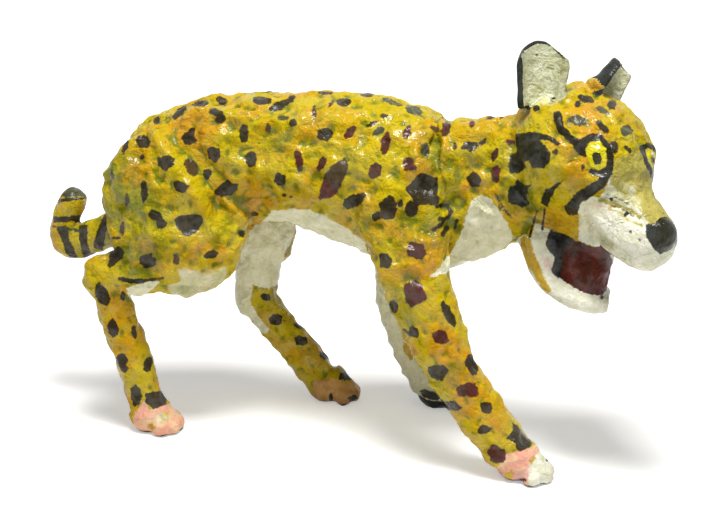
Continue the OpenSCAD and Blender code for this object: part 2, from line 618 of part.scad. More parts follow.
// Paws: a heel and toes of pulp, cut flat on the table and square where the leg stands
toe_d = 0.42 * paw_width;
module paw(heel, keys, turn) color(pad_pink) difference() {
    translate(heel) rotate(turn) {
        translate([-0.10 * paw_length, 0, 0.42 * paw_width]) sphere(d = 0.98 * paw_width, $fn = 24);
        for (row = [[-0.31, 0.24], [-0.1, 0.36], [0.13, 0.35], [0.33, 0.22]])
            translate([row[1] * paw_length, row[0] * paw_width, 0.40 * toe_d]) sphere(d = toe_d, $fn = 24);
        translate([0.16 * paw_length, 0, 0.26 * paw_width]) sphere(d = 0.72 * paw_width, $fn = 24);
    }
    beyond(place(keys[len(keys) - 1]), -heading(keys, 1));
    beyond([0, 0, 0], [0, 0, -1]);
    translate(place(keys[len(keys) - 1])) rotate_to(heading(keys, 1))
        translate([0, 0, -1]) cylinder(h = wire_bite + 1 + paste_gap, d = wire_d + 2 * paste_gap, $fn = 24);
}
module rotate_to(along) rotate([0, acos(along[2]), atan2(along[1], along[0])]) children();
module right_fore_paw() paw(right_fore_heel, right_foreleg_keys, -8);
module left_fore_paw() paw(left_fore_heel, left_foreleg_keys, 6);
module right_hind_paw() paw(right_hind_heel, cannon_keys(right_hock, right_hind_ankle), -6);
module left_hind_paw() paw(left_hind_heel, cannon_keys(left_hock, left_hind_ankle), 8);

module tail_skin() color(coat) difference() {
    tail_run();
    body_form(paste_gap);
    spine_run(paste_gap);
}

spine_wire();
fore_leg_wire();
hind_leg_wire();
shoulder_tape();
hip_tape();
rump_bundle();
waist_bundle();
chest_bundle();
neck_bundle();
head_bundle();
torso_skin();
neck_skin();
head_skin();
muzzle();
nose();
lower_jaw();
mouth_lining();
right_eye();
left_eye();
right_ear();
left_ear();
right_shoulder();
left_shoulder();
right_thigh();
left_thigh();
right_foreleg();
left_foreleg();
right_hind_leg();
left_hind_leg();
right_fore_paw();
left_fore_paw();
right_hind_paw();
left_hind_paw();
tail_skin();
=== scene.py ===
"""Looks of a papier-mache figure of a spotted cat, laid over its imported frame.

The paper skins are one hide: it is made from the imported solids, pressed and dented like hand-laid paper,
painted mark by mark, and then parted into one piece for each solid.
"""

import logging
import math
from dataclasses import astuple, dataclass, field
from enum import Enum
from typing import Any, Callable, Iterable, Optional, Sequence

import bmesh
import bpy
import numpy as np
from mathutils import Matrix, Vector, noise
from mathutils.bvhtree import BVHTree


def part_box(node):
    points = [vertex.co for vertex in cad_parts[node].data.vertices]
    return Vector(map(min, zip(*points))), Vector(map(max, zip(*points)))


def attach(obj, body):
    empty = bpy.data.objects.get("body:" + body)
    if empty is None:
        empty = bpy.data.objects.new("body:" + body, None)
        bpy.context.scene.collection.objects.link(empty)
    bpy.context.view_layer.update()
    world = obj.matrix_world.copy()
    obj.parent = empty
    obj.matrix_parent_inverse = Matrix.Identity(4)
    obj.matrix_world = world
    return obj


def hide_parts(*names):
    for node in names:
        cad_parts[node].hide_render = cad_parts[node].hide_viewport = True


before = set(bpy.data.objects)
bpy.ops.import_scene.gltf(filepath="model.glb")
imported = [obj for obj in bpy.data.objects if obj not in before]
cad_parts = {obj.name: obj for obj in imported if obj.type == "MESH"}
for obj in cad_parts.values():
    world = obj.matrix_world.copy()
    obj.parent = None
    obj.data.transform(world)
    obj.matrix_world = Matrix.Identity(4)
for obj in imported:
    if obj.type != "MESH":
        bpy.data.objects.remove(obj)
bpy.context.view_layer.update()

log = logging.getLogger("alebrije")
Pixel = tuple[float, float]
MM = 0.001
IMAGE = (720, 530)
# In millimetres: what counts as far from any mark, and a distance that nothing reaches.
FAR = 9.0
NOWHERE = 1e9
# A vertex is a solid's own from this share on.
OWN = 0.5
# In metres: corners of a solid's loose triangles that lie this near are one.
WELD = 1e-6
# A pass of smoothing moves a vertex this share of the way to its neighbours' middle.
EASE = 0.5
# Each seed moves a noise by this much along the three axes.
NOISE_STEP = (13.7, 7.1, 3.3)


def linear(code: str) -> tuple[float, float, float, float]:
    """Turn an sRGB hex colour into linear red, green, blue and alpha.

    Args:
        code: the colour as six hex digits after a hash sign.

    Returns:
        The linear colour, with an alpha of 1.
    """
    parts = [int(code[i : i + 2], 16) / 255 for i in (1, 3, 5)]
    bent = [c / 12.92 if c <= 0.04045 else ((c + 0.055) / 1.055) ** 2.4 for c in parts]
    return (bent[0], bent[1], bent[2], 1.0)


def per_mm(size: float) -> float:
    """Scale of a texture node whose feature is this many millimetres wide."""
    return 1 / (size * MM)


def add_node(
    tree: bpy.types.NodeTree,
    kind: str,
    settings: Optional[dict[Any, Any]] = None,
    links: Optional[dict[Any, bpy.types.NodeSocket]] = None,
) -> bpy.types.Node:
    """Add a shader node with its settings and links.

    Args:
        tree: the node tree that gets the node.
        kind: the node's type name without its ShaderNode prefix.
        settings: values by property name, or by input name or number.
        links: output sockets by the name or number of the input that they feed.

    Returns:
        The new node.
    """
    node = tree.nodes.new("ShaderNode" + kind)
    for key, value in (settings or {}).items():
        if isinstance(key, str) and hasattr(node, key):
            setattr(node, key, value)
        else:
            node.inputs[key].default_value = value
    for key, source in (links or {}).items():
        tree.links.new(source, node.inputs[key])
    return node


def new_material(name: str) -> tuple[bpy.types.Material, bpy.types.NodeTree, bpy.types.NodeSocket]:
    """Start a material whose only node gives object coordinates.

    Args:
        name: the material's name.

    Returns:
        The material, its nodes and the coordinates.
    """
    made = bpy.data.materials.new(name)
    made.use_nodes = True
    tree = made.node_tree
    tree.nodes.clear()
    return made, tree, add_node(tree, "TexCoord").outputs["Object"]


def add_object(name: str, data: Any) -> bpy.types.Object:
    """Make an object at the origin and link it to the scene.

    Args:
        name: the object's name.
        data: its mesh, lamp or camera.

    Returns:
        The object.
    """
    made = bpy.data.objects.new(name, data)
    bpy.context.scene.collection.objects.link(made)
    return made


def soften(work: bmesh.types.BMesh, verts: list[bmesh.types.BMVert], passes: int) -> None:
    """Smooth vertices of a mesh.

    Args:
        work: the mesh.
        verts: the vertices to smooth.
        passes: how many rounds of smoothing.
    """
    for _ in range(passes):
        bmesh.ops.smooth_vert(
            work, verts=verts, factor=EASE, use_axis_x=True, use_axis_y=True, use_axis_z=True
        )


def reached(start: Any, steps: Callable[[Any], Iterable[Any]]) -> list[Any]:
    """Find all that can be reached from a start.

    Args:
        start: where to begin.
        steps: tells what lies one step away.

    Returns:
        The start and all that was reached, in the order of finding.
    """
    found = {start: None}
    todo = [start]
    while todo:
        for other in steps(todo.pop()):
            if other not in found:
                found[other] = None
                todo.append(other)
    return list(found)


def beside(face: bmesh.types.BMFace) -> list[bmesh.types.BMFace]:
    """The faces on both sides of a face's edges."""
    return [other for edge in face.edges for other in edge.link_faces]


def search_tree(names: Sequence[str]) -> tuple[BVHTree, list[int]]:
    """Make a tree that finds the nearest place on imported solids.

    Args:
        names: the solids' nodes.

    Returns:
        The tree, in metres, and the number among the names of each face's solid.
    """
    places: list[Vector] = []
    faces: list[tuple[int, ...]] = []
    owner: list[int] = []
    for number, name in enumerate(names):
        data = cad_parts[name].data
        base = len(places)
        places.extend(v.co for v in data.vertices)
        faces.extend(tuple(base + i for i in p.vertices) for p in data.polygons)
        owner.extend([number] * len(data.polygons))
    return BVHTree.FromPolygons(places, faces), owner


class Pigment(Enum):
    """Paint layers of the hide, each kept as a distance from its edge in millimetres."""

    OLIVE = "olive"
    ORANGE = "orange"
    KHAKI = "khaki"
    CREAM = "cream"
    OCHRE = "ochre"
    SHADE_WASH = "painted_shade_wash"
    CHALK_AND_HIGHLIGHT = "chalk_and_highlight_wash"
    BLUSH = "blush_wash"
    PINK = "pink"
    MOUTH = "mouth_red"
    TAN = "tan"
    BROWN = "brown"
    CHARCOAL = "charcoal"
    WINE = "wine"
    GREY = "grey_green"
    BLACK = "black"
    YELLOW = "eye_yellow"
    PUPIL = "pupil"
    GLINT = "glint"


@dataclass(frozen=True)
class PhotoCamera:
    """The camera's place round the figure, in degrees and millimetres."""

    azimuth: float = 15.0
    elevation: float = 17.0
    distance: float = 700.0
    mm_per_px: float = 0.40
    target: tuple[float, float, float] = (4.0, 0.0, 69.5)
    sensor: float = 36.0
    near_clip: float = 10.0

    @property
    def axes(self) -> tuple[np.ndarray, np.ndarray, np.ndarray]:
        """Right, up and back directions of the camera."""
        a, e = math.radians(self.azimuth), math.radians(self.elevation)
        back = np.array([math.sin(a) * math.cos(e), -math.cos(a) * math.cos(e), math.sin(e)])
        right = np.array([math.cos(a), math.sin(a), 0.0])
        return right, np.cross(back, right), back

    @property
    def eye(self) -> np.ndarray:
        """Where the camera stands, in millimetres."""
        return np.array(self.target) + self.axes[2] * self.distance

    @property
    def focal_px(self) -> float:
        """Focal length in pixels of the image."""
        return self.distance / self.mm_per_px

    def depth(self, points: np.ndarray) -> np.ndarray:
        """Distance of points in front of the camera, in millimetres."""
        return (self.eye - points) @ self.axes[2]

    def project(self, points: np.ndarray) -> np.ndarray:
        """Find where points fall in the image.

        Args:
            points: places in millimetres, one a row.

        Returns:
            Columns and rows of the image, in pixels from its top left corner.
        """
        right, up, _ = self.axes
        away = points - self.eye
        reach = self.focal_px / self.depth(points)
        return np.stack([IMAGE[0] / 2 + away @ right * reach, IMAGE[1] / 2 - away @ up * reach], axis=1)

    def ray(self, pixel: Pixel) -> Vector:
        """Direction from the camera through a pixel."""
        right, up, back = self.axes
        across = (pixel[0] - IMAGE[0] / 2) / self.focal_px
        rise = (IMAGE[1] / 2 - pixel[1]) / self.focal_px
        return Vector(right * across + up * rise - back).normalized()

    def build(self) -> bpy.types.Object:
        """Make the camera and give it to the scene.

        Returns:
            The camera object.
        """
        data = bpy.data.cameras.new("photo_camera")
        data.sensor_fit = "HORIZONTAL"
        data.sensor_width = self.sensor
        data.lens = self.sensor * self.focal_px / IMAGE[0]
        data.clip_start = self.near_clip * MM
        camera = add_object("photo_camera", data)
        right, up, back = self.axes
        turn = Matrix((right, up, back)).transposed().to_4x4()
        camera.matrix_world = Matrix.Translation(Vector(self.eye * MM)) @ turn
        bpy.context.scene.camera = camera
        return camera


CAMERA = PhotoCamera()


@dataclass(frozen=True)
class Lumps:
    """How hand-laid paper swells and dents, as heights in millimetres."""

    broad: float
    strips: float
    pulp: float
    grain: float


# How far apart, in millimetres, the broad swells, the strips' edges, the pulp and the grain lie.
LUMP_SIZES = (17.0, 8.0, 3.6, 1.8)
# Rounds of averaging that carry one part's lumps smoothly into the next.
LUMP_PASSES = 8


@dataclass(frozen=True)
class Spot:
    """One brushed spot: its middle and size in pixels, and its turn clockwise in degrees."""

    x: float
    y: float
    width: float
    height: float
    turn: float = 0.0
    pigment: Pigment = Pigment.CHARCOAL


@dataclass(frozen=True)
class Stroke:
    """One brush stroke along pixels, with its width in pixels."""

    points: tuple[Pixel, ...]
    width: float
    pigment: Pigment = Pigment.BLACK


@dataclass(frozen=True)
class Zone:
    """One painted field: its corners in pixels, its pigment, its nodes and how uneven its edge is."""

    corners: tuple[Pixel, ...]
    pigment: Pigment
    nodes: tuple[str, ...] = ()
    ragged: float = 1.0


@dataclass(frozen=True)
class Band:
    """One ring round the tail: a pixel on it, the tail's heading there and its width in pixels."""

    x: float
    y: float
    heading: float
    width: float
    pigment: Pigment = Pigment.CHARCOAL


@dataclass(frozen=True)
class Relief:
    """A ridge or a dent along pixels, with its half width and its height in millimetres."""

    points: tuple[Pixel, ...]
    half_width: float
    height: float


@dataclass(frozen=True)
class Trim:
    """A straight cut across a node between two pixels, with what lies on its right or above taken off."""

    node: str
    start: Pixel
    end: Pixel


@dataclass(frozen=True)
class Wad:
    """A wad of paper pressed into a hollow: where it starts and ends, and its radius, in millimetres."""

    start: tuple[float, float, float]
    end: tuple[float, float, float]
    radius: float


def along_path(pixels: np.ndarray, stops: Sequence[Pixel], closed: bool = False) -> np.ndarray:
    """Distance of pixels from a path of straight runs.

    Args:
        pixels: one pixel a row.
        stops: the corners of the path.
        closed: whether the last corner joins the first.

    Returns:
        The distance in pixels.
    """
    corners = list(stops) + ([stops[0]] if closed else [])
    best = np.full(len(pixels), NOWHERE)
    if len(corners) == 1:
        corners = corners * 2
    for start, end in zip(corners, corners[1:]):
        a, b = np.array(start, float), np.array(end, float)
        run = b - a
        share = np.clip((pixels - a) @ run / max(run @ run, 1e-9), 0, 1)
        best = np.minimum(best, np.linalg.norm(pixels - a - share[:, None] * run, axis=1))
    return best


def inside_path(pixels: np.ndarray, corners: Sequence[Pixel]) -> np.ndarray:
    """Tell which pixels lie inside a closed path.

    Args:
        pixels: one pixel a row.
        corners: the corners of the path.

    Returns:
        True for each pixel inside.
    """
    within = np.zeros(len(pixels), bool)
    x, y = pixels[:, 0], pixels[:, 1]
    for (ax, ay), (bx, by) in zip(corners, list(corners[1:]) + [corners[0]]):
        if ay == by:
            continue
        crosses = (ay > y) != (by > y)
        within ^= crosses & (x < (bx - ax) * (y - ay) / (by - ay) + ax)
    return within


@dataclass
class View:
    """The hide as one camera sees it: directly, or with its two sides exchanged."""

    pixels: np.ndarray
    depth: np.ndarray
    usable: np.ndarray

    @property
    def scale(self) -> np.ndarray:
        """Millimetres in one pixel at each vertex."""
        return self.depth / CAMERA.focal_px


OUTER = (
    "torso_skin", "neck_skin", "tail_skin", "head_skin", "muzzle", "nose", "lower_jaw", "mouth_lining",
    "right_eye", "left_eye", "right_ear", "left_ear", "right_shoulder", "left_shoulder", "right_thigh",
    "left_thigh", "right_foreleg", "left_foreleg", "right_hind_leg", "left_hind_leg", "right_fore_paw",
    "left_fore_paw", "right_hind_paw", "left_hind_paw",
)
TAPES = ("shoulder_tape", "hip_tape")
BUNDLES = ("rump_bundle", "waist_bundle", "chest_bundle", "neck_bundle", "head_bundle")
FILLING = BUNDLES + TAPES
TRUNK_NODES = ("torso_skin", "neck_skin", "right_shoulder", "left_shoulder", "right_thigh", "left_thigh")
LEG_NODES = ("right_foreleg", "left_foreleg", "right_hind_leg", "left_hind_leg")
PAW_NODES = ("right_fore_paw", "left_fore_paw", "right_hind_paw", "left_hind_paw")


@dataclass
class Hide:
    """The figure's whole outer surface while it is pressed and painted, with lengths in millimetres."""

    voxel: float = 0.7  # step of the even mesh
    paste: float = 0.6  # paper pasted on each solid
    drying: float = 0.6  # share of that paper that shrinks away again
    cover: float = 0.8  # least paper over a bundle
    sunk: float = -0.5  # lift below which a bundle may be near
    tuck: float = 0.6  # depth of a piece's turned-in edge
    cone: float = 0.5  # depth of the cone behind that edge, as a share of its radius
    sight_start: float = 0.25  # height above the paper at which a sight line starts
    facing: float = 0.04  # least cosine between the paper and a sight line
    wad_steps: int = 6  # steps from ball to ball along a wad
    wad_rounding: int = 3  # subdivisions of each ball
    soft_passes: int = 4
    share_passes: int = 6
    melt_passes: int = 22
    melt_shares: tuple[float, float] = (0.97, 0.93)  # least of all the skins, most of any one
    melt_margin: tuple[int, float] = (3, 0.05)  # passes and level that widen the melted borders
    cavity_passes: int = 5
    island_rounds: int = 3
    wobbles: tuple[tuple[float, float, int], ...] = ((1.0, 4.6, 21), (0.5, 2.1, 22))  # height, length, seed
    melting: tuple[str, ...] = TRUNK_NODES + LEG_NODES + ("head_skin", "tail_skin", "muzzle")
    mesh: Optional[bpy.types.Mesh] = None
    points: np.ndarray = field(default_factory=lambda: np.zeros((0, 3)))
    normals: np.ndarray = field(default_factory=lambda: np.zeros((0, 3)))
    edges: np.ndarray = field(default_factory=lambda: np.zeros((0, 2), int))
    shares: np.ndarray = field(default_factory=lambda: np.zeros((0, 0)))
    lift: np.ndarray = field(default_factory=lambda: np.zeros(0))
    wobble: np.ndarray = field(default_factory=lambda: np.zeros(0))
    layers: dict[Pigment, np.ndarray] = field(default_factory=dict)
    tree: Optional[BVHTree] = None
    direct: Optional[View] = None

    def gather(self, wads: Sequence[Wad]) -> None:
        """Join copies of the solids and turn them into one even mesh of their outside.

        Args:
            wads: the paper that fills hollows between the solids.
        """
        stock = bmesh.new()
        for wad in wads:
            start, end = Vector(wad.start), Vector(wad.end)
            for step in range(self.wad_steps + 1):
                middle = Matrix.Translation(start.lerp(end, step / self.wad_steps) * MM)
                bmesh.ops.create_icosphere(
                    stock, subdivisions=self.wad_rounding, radius=wad.radius * MM, matrix=middle
                )
        padded = bpy.data.meshes.new("hide_stock_node")
        for name in OUTER + FILLING:
            lump = bmesh.new()
            lump.from_mesh(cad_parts[name].data)
            bmesh.ops.remove_doubles(lump, verts=lump.verts[:], dist=WELD)
            lump.normal_update()
            for vert in lump.verts:
                vert.co += vert.normal * self.paste * MM
            lump.to_mesh(padded)
            lump.free()
            stock.from_mesh(padded)
        bpy.data.meshes.remove(padded)
        data = bpy.data.meshes.new("hide_stock")
        stock.to_mesh(data)
        stock.free()
        block = add_object("hide_stock", data)
        remesh = block.modifiers.new("even_mesh", "REMESH")
        remesh.mode = "VOXEL"
        remesh.voxel_size = self.voxel * MM
        graph = bpy.context.evaluated_depsgraph_get()
        self.mesh = bpy.data.meshes.new_from_object(block.evaluated_get(graph))
        bpy.data.objects.remove(block)
        bpy.data.meshes.remove(data)
        self.keep_outside()
        self.read()
        log.info("hide: %d vertices", len(self.points))

    def keep_outside(self) -> None:
        """Drop every shell of the mesh but the largest, and even it out."""
        work = bmesh.new()
        work.from_mesh(self.mesh)
        shells: list[list[bmesh.types.BMVert]] = []
        done: set[bmesh.types.BMVert] = set()
        for first in work.verts:
            if first not in done:
                shells.append(reached(first, lambda vert: (e.other_vert(vert) for e in vert.link_edges)))
                done.update(shells[-1])
        largest = set(max(shells, key=len))
        loose = [v for v in work.verts if v not in largest]
        bmesh.ops.delete(work, geom=loose, context="VERTS")
        soften(work, work.verts[:], self.soft_passes)
        work.to_mesh(self.mesh)
        work.free()
        log.info("hide: %d shells dropped", len(shells) - 1)

    def read(self) -> None:
        """Take the places, normals and edges from the mesh."""
        count = len(self.mesh.vertices)
        flat = np.zeros(count * 3, np.float32)
        self.mesh.vertices.foreach_get("co", flat)
        self.points = flat.reshape(-1, 3).astype(float) / MM
        self.mesh.vertices.foreach_get("normal", flat)
        self.normals = flat.reshape(-1, 3).astype(float)
        pairs = np.zeros(len(self.mesh.edges) * 2, np.int32)
        self.mesh.edges.foreach_get("vertices", pairs)
        self.edges = pairs.reshape(-1, 2)

    def spread(self, values: np.ndarray, passes: int) -> np.ndarray:
        """Even out values over the surface.

        Args:
            values: one row for each vertex.
            passes: how many rounds of averaging with the neighbours.

        Returns:
            The evened values.
        """
        count = len(self.points)
        a, b = self.edges[:, 0], self.edges[:, 1]
        near = np.bincount(a, minlength=count) + np.bincount(b, minlength=count) + 1.0
        columns = values.reshape(count, -1).astype(float).copy()
        for _ in range(passes):
            for c in range(columns.shape[1]):
                row = columns[:, c]
                total = np.bincount(a, row[b], count) + np.bincount(b, row[a], count) + row
                columns[:, c] = total / near
        return columns.reshape(values.shape)

    def label(self) -> None:
        """Give each vertex its share of each outer solid, by the nearest one."""
        solids, owner = search_tree(OUTER)
        nearest = [owner[solids.find_nearest(Vector(p * MM))[2]] for p in self.points]
        self.shares = self.spread(np.eye(len(OUTER))[nearest], self.share_passes)

    def share(self, *names: str) -> np.ndarray:
        """How far each vertex belongs to the named solids, from 0 to 1."""
        return self.shares[:, [OUTER.index(n) for n in names]].sum(axis=1)

    def owned(self, *names: str) -> np.ndarray:
        """Which vertices are the named solids' own."""
        return self.share(*names) > OWN

    def melt(self) -> None:
        """Smooth the paper where two skins run into each other."""
        kept = self.shares[:, [OUTER.index(n) for n in self.melting]]
        least, most = self.melt_shares
        border = (kept.sum(axis=1) > least) & (kept.max(axis=1) < most)
        passes, level = self.melt_margin
        border = self.spread(border.astype(float), passes) > level
        work = bmesh.new()
        work.from_mesh(self.mesh)
        work.verts.ensure_lookup_table()
        chosen = [work.verts[int(i)] for i in np.flatnonzero(border)]
        soften(work, chosen, self.melt_passes)
        work.to_mesh(self.mesh)
        work.free()
        self.mesh.update()
        self.read()
        self.lift = np.full(len(self.points), -self.drying * self.paste)
        self.look()

    def waves(self, length: float, seed: int) -> np.ndarray:
        """Smooth noise over the surface.

        Args:
            length: the size of one wave in millimetres.
            seed: a number that gives another noise of the same kind.

        Returns:
            A value from about -1 to 1 for each vertex.
        """
        shift = Vector([seed * step for step in NOISE_STEP])
        return np.array([noise.noise(Vector(p / length) + shift) for p in self.points])

    def look(self) -> None:
        """Find where each vertex falls in the image and which ones the camera sees."""
        self.tree = BVHTree.FromPolygons(
            [Vector(p) for p in self.points], [tuple(p.vertices) for p in self.mesh.polygons]
        )
        eye = Vector(CAMERA.eye)
        to_eye = CAMERA.eye - self.points
        to_eye /= np.linalg.norm(to_eye, axis=1)[:, None]
        facing = np.einsum("ij,ij->i", to_eye, self.normals) > self.facing
        seen = np.zeros(len(self.points), bool)
        for i in np.flatnonzero(facing):
            start = Vector(self.points[i] + self.sight_start * self.normals[i])
            seen[i] = self.tree.ray_cast(start, (eye - start).normalized())[0] is None
        self.direct = View(CAMERA.project(self.points), CAMERA.depth(self.points), seen)

    def anchor(self, pixel: Pixel) -> np.ndarray:
        """Find the place on the surface that a pixel shows.

        Args:
            pixel: column and row in the image.

        Returns:
            The place in millimetres, or the seen vertex nearest to the pixel where the ray misses.
        """
        hit = self.tree.ray_cast(Vector(CAMERA.eye), CAMERA.ray(pixel))[0]
        if hit is not None:
            return np.array(hit)
        away = np.linalg.norm(self.direct.pixels - np.array(pixel), axis=1)
        away[~self.direct.usable] = NOWHERE
        return self.points[int(np.argmin(away))]

    def depth_at(self, pixel: Pixel) -> float:
        """Distance from the camera to the place that a pixel shows, in millimetres."""
        return CAMERA.depth(self.anchor(pixel)[None, :])[0]

    def skin_depth(self) -> np.ndarray:
        """Measure the paper between the surface and the bundles under it.

        Returns:
            The depth in millimetres for each vertex, and a large one where no bundle is near.
        """
        bundles, _ = search_tree(FILLING)
        depth = np.full(len(self.points), FAR)
        for i in np.flatnonzero(self.lift < self.sunk):
            near = bundles.find_nearest(Vector(self.points[i] * MM), FAR * MM)
            if near[0] is not None:
                depth[i] = near[3] / MM
        return depth

    def press(self) -> None:
        """Move the surface by the collected lift and keep the soles on the table."""
        lift = np.maximum(self.spread(self.lift, 1), self.cover - self.skin_depth())
        places = self.points + self.normals * lift[:, None]
        places[:, 2] = np.maximum(places[:, 2], 0.0)
        self.mesh.vertices.foreach_set("co", (places * MM).astype(np.float32).ravel())
        self.mesh.update()
        self.read()
        self.look()
        self.wobble = sum(height * self.waves(length, seed) for height, length, seed in self.wobbles)
        self.layers = {p: np.full(len(self.points), FAR) for p in Pigment}

    def lay(self, pigment: Pigment, distance: np.ndarray, where: np.ndarray) -> None:
        """Add a mark to a paint layer.

        Args:
            pigment: the layer.
            distance: millimetres from the mark's edge, below zero inside it, at each vertex below.
            where: the numbers of the vertices that the mark may reach.
        """
        layer = self.layers[pigment]
        layer[where] = np.minimum(layer[where], distance)

    def part(self, rows: dict[str, "AcrylicCoat"]) -> dict[str, bpy.types.Object]:
        """Part the painted hide into one closed piece for each solid.

        Args:
            rows: the finish of each piece by its node's name.

        Returns:
            The pieces by their node's name.
        """
        smooth = self.spread(self.points, self.cavity_passes)
        cavity = np.einsum("ij,ij->i", smooth - self.points, self.normals)
        for name, values in [(p.value, d) for p, d in self.layers.items()] + [("cavity", cavity)]:
            layer = self.mesh.attributes.new(name, "FLOAT", "POINT")
            layer.data.foreach_set("value", np.clip(values, -FAR, FAR).astype(np.float32))
        whole = self.mesh.attributes.new("whole_normal", "FLOAT_VECTOR", "POINT")
        whole.data.foreach_set("vector", self.normals.astype(np.float32).ravel())
        corners = np.array([list(p.vertices)[:4] for p in self.mesh.polygons])
        owner = np.argmax(self.shares[corners].sum(axis=1), axis=1)
        owner = self.without_islands(owner)
        pieces: dict[str, bpy.types.Object] = {}
        for number, name in enumerate(OUTER):
            pieces[name] = self.cut_out(name, owner == number, rows[name])
        return pieces

    def without_islands(self, owner: np.ndarray) -> np.ndarray:
        """Give each small island of faces to the piece round it.

        Args:
            owner: the number of each face's solid.

        Returns:
            The mended numbers.
        """
        owner = owner.copy()
        work = bmesh.new()
        work.from_mesh(self.mesh)
        work.faces.ensure_lookup_table()
        for _ in range(self.island_rounds):
            done: set[bmesh.types.BMFace] = set()
            groups: dict[int, list[list[bmesh.types.BMFace]]] = {}
            for face in work.faces:
                if face in done:
                    continue
                number = int(owner[face.index])
                group = reached(face, lambda f: (n for n in beside(f) if owner[n.index] == number))
                done.update(group)
                groups.setdefault(number, []).append(group)
            for number, found in groups.items():
                found.sort(key=len)
                for group in found[:-1]:
                    nearby = [int(owner[n.index]) for f in group for n in beside(f)]
                    round_it = [n for n in nearby if n != number]
                    if round_it:
                        owner[[f.index for f in group]] = max(set(round_it), key=round_it.count)
        work.free()
        return owner

    def close_rims(self, work: bmesh.types.BMesh) -> None:
        """Close each open rim of a piece by a tucked edge and a cone that stay inside the figure.

        Args:
            work: the open piece.
        """
        waiting = dict.fromkeys(e for e in work.edges if e.is_boundary)
        while waiting:
            first_edge = next(iter(waiting))
            rim = reached(
                first_edge, lambda edge: (e for v in edge.verts for e in v.link_edges if e in waiting)
            )
            for edge in rim:
                del waiting[edge]
            corners = list(dict.fromkeys(v for e in rim for v in e.verts))
            middle = sum((v.co for v in corners), Vector()) / len(corners)
            facing = sum((v.normal for v in corners), Vector()) / len(corners)
            radius = sum((v.co - middle).length for v in corners) / len(corners)
            tip = work.verts.new(middle - facing * radius * self.cone, corners[0])
            tucked = {v: work.verts.new(v.co - v.normal * self.tuck * MM, v) for v in corners}
            for edge in rim:
                first, second = edge.link_loops[0].link_loop_next.vert, edge.link_loops[0].vert
                work.faces.new((first, second, tucked[second], tucked[first]))
                work.faces.new((tucked[first], tucked[second], tip))

    def cut_out(self, name: str, chosen: np.ndarray, finish: "AcrylicCoat") -> bpy.types.Object:
        """Copy one solid's share of the hide, close it and dress it.

        Args:
            name: the node that the piece stands for.
            chosen: the faces of the piece.
            finish: the paint on the piece.

        Returns:
            The new object.
        """
        work = bmesh.new()
        work.from_mesh(self.mesh)
        work.faces.ensure_lookup_table()
        others = [work.faces[int(i)] for i in np.flatnonzero(~chosen)]
        bmesh.ops.delete(work, geom=others, context="FACES")
        self.close_rims(work)
        for face in work.faces:
            face.smooth = True
        data = bpy.data.meshes.new(name + "_paper")
        work.to_mesh(data)
        work.free()
        data.materials.append(finish.material())
        whole = np.zeros(len(data.vertices) * 3, np.float32)
        data.attributes["whole_normal"].data.foreach_get("vector", whole)
        data.normals_split_custom_set_from_vertices([tuple(n) for n in whole.reshape(-1, 3)])
        data.attributes.remove(data.attributes["whole_normal"])
        piece = add_object(name + "_paper", data)
        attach(piece, "root")
        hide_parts(name)
        log.info("%s: %d faces", piece.name, len(data.polygons))
        return piece


@dataclass(frozen=True)
class Brush:
    """How the brush leaves its marks, in millimetres where a line says nothing else."""

    seed_step: int = 1000  # a spot's column times this, and its row, make its seed
    overrun: float = 1.35  # reach of a spot's corners, as a share of its half size
    margin: float = 5.0  # paper round a spot that its edge is worked out on
    spot_sag: float = 6.0  # how much further than that the paper may lie in depth
    corners: tuple[int, int] = (6, 9)  # fewest corners of a spot, and one more than the most
    sway: float = 0.3  # a corner's shift round the spot, as a share of the step to the next
    stretch: tuple[float, float] = (0.95, 1.2)  # a corner's place, as a share of the half size
    spot_rough: float = 0.25  # unevenness of a spot's edge for each millimetre of half size
    spot_edge: tuple[float, float] = (0.1, 0.6)  # least and most of it
    stroke_margin: float = 20.0  # pixels round a stroke that its edge is worked out on
    stroke_sag: float = 9.0  # how far the paper may lie in depth from a stroke's points
    stroke_rough: float = 0.0625  # unevenness of a stroke's edge for each pixel of width
    stroke_edge: tuple[float, float] = (0.08, 0.6)  # least and most of it
    field_margin: float = 25.0  # pixels round a field that its edge is worked out on


BRUSH = Brush()


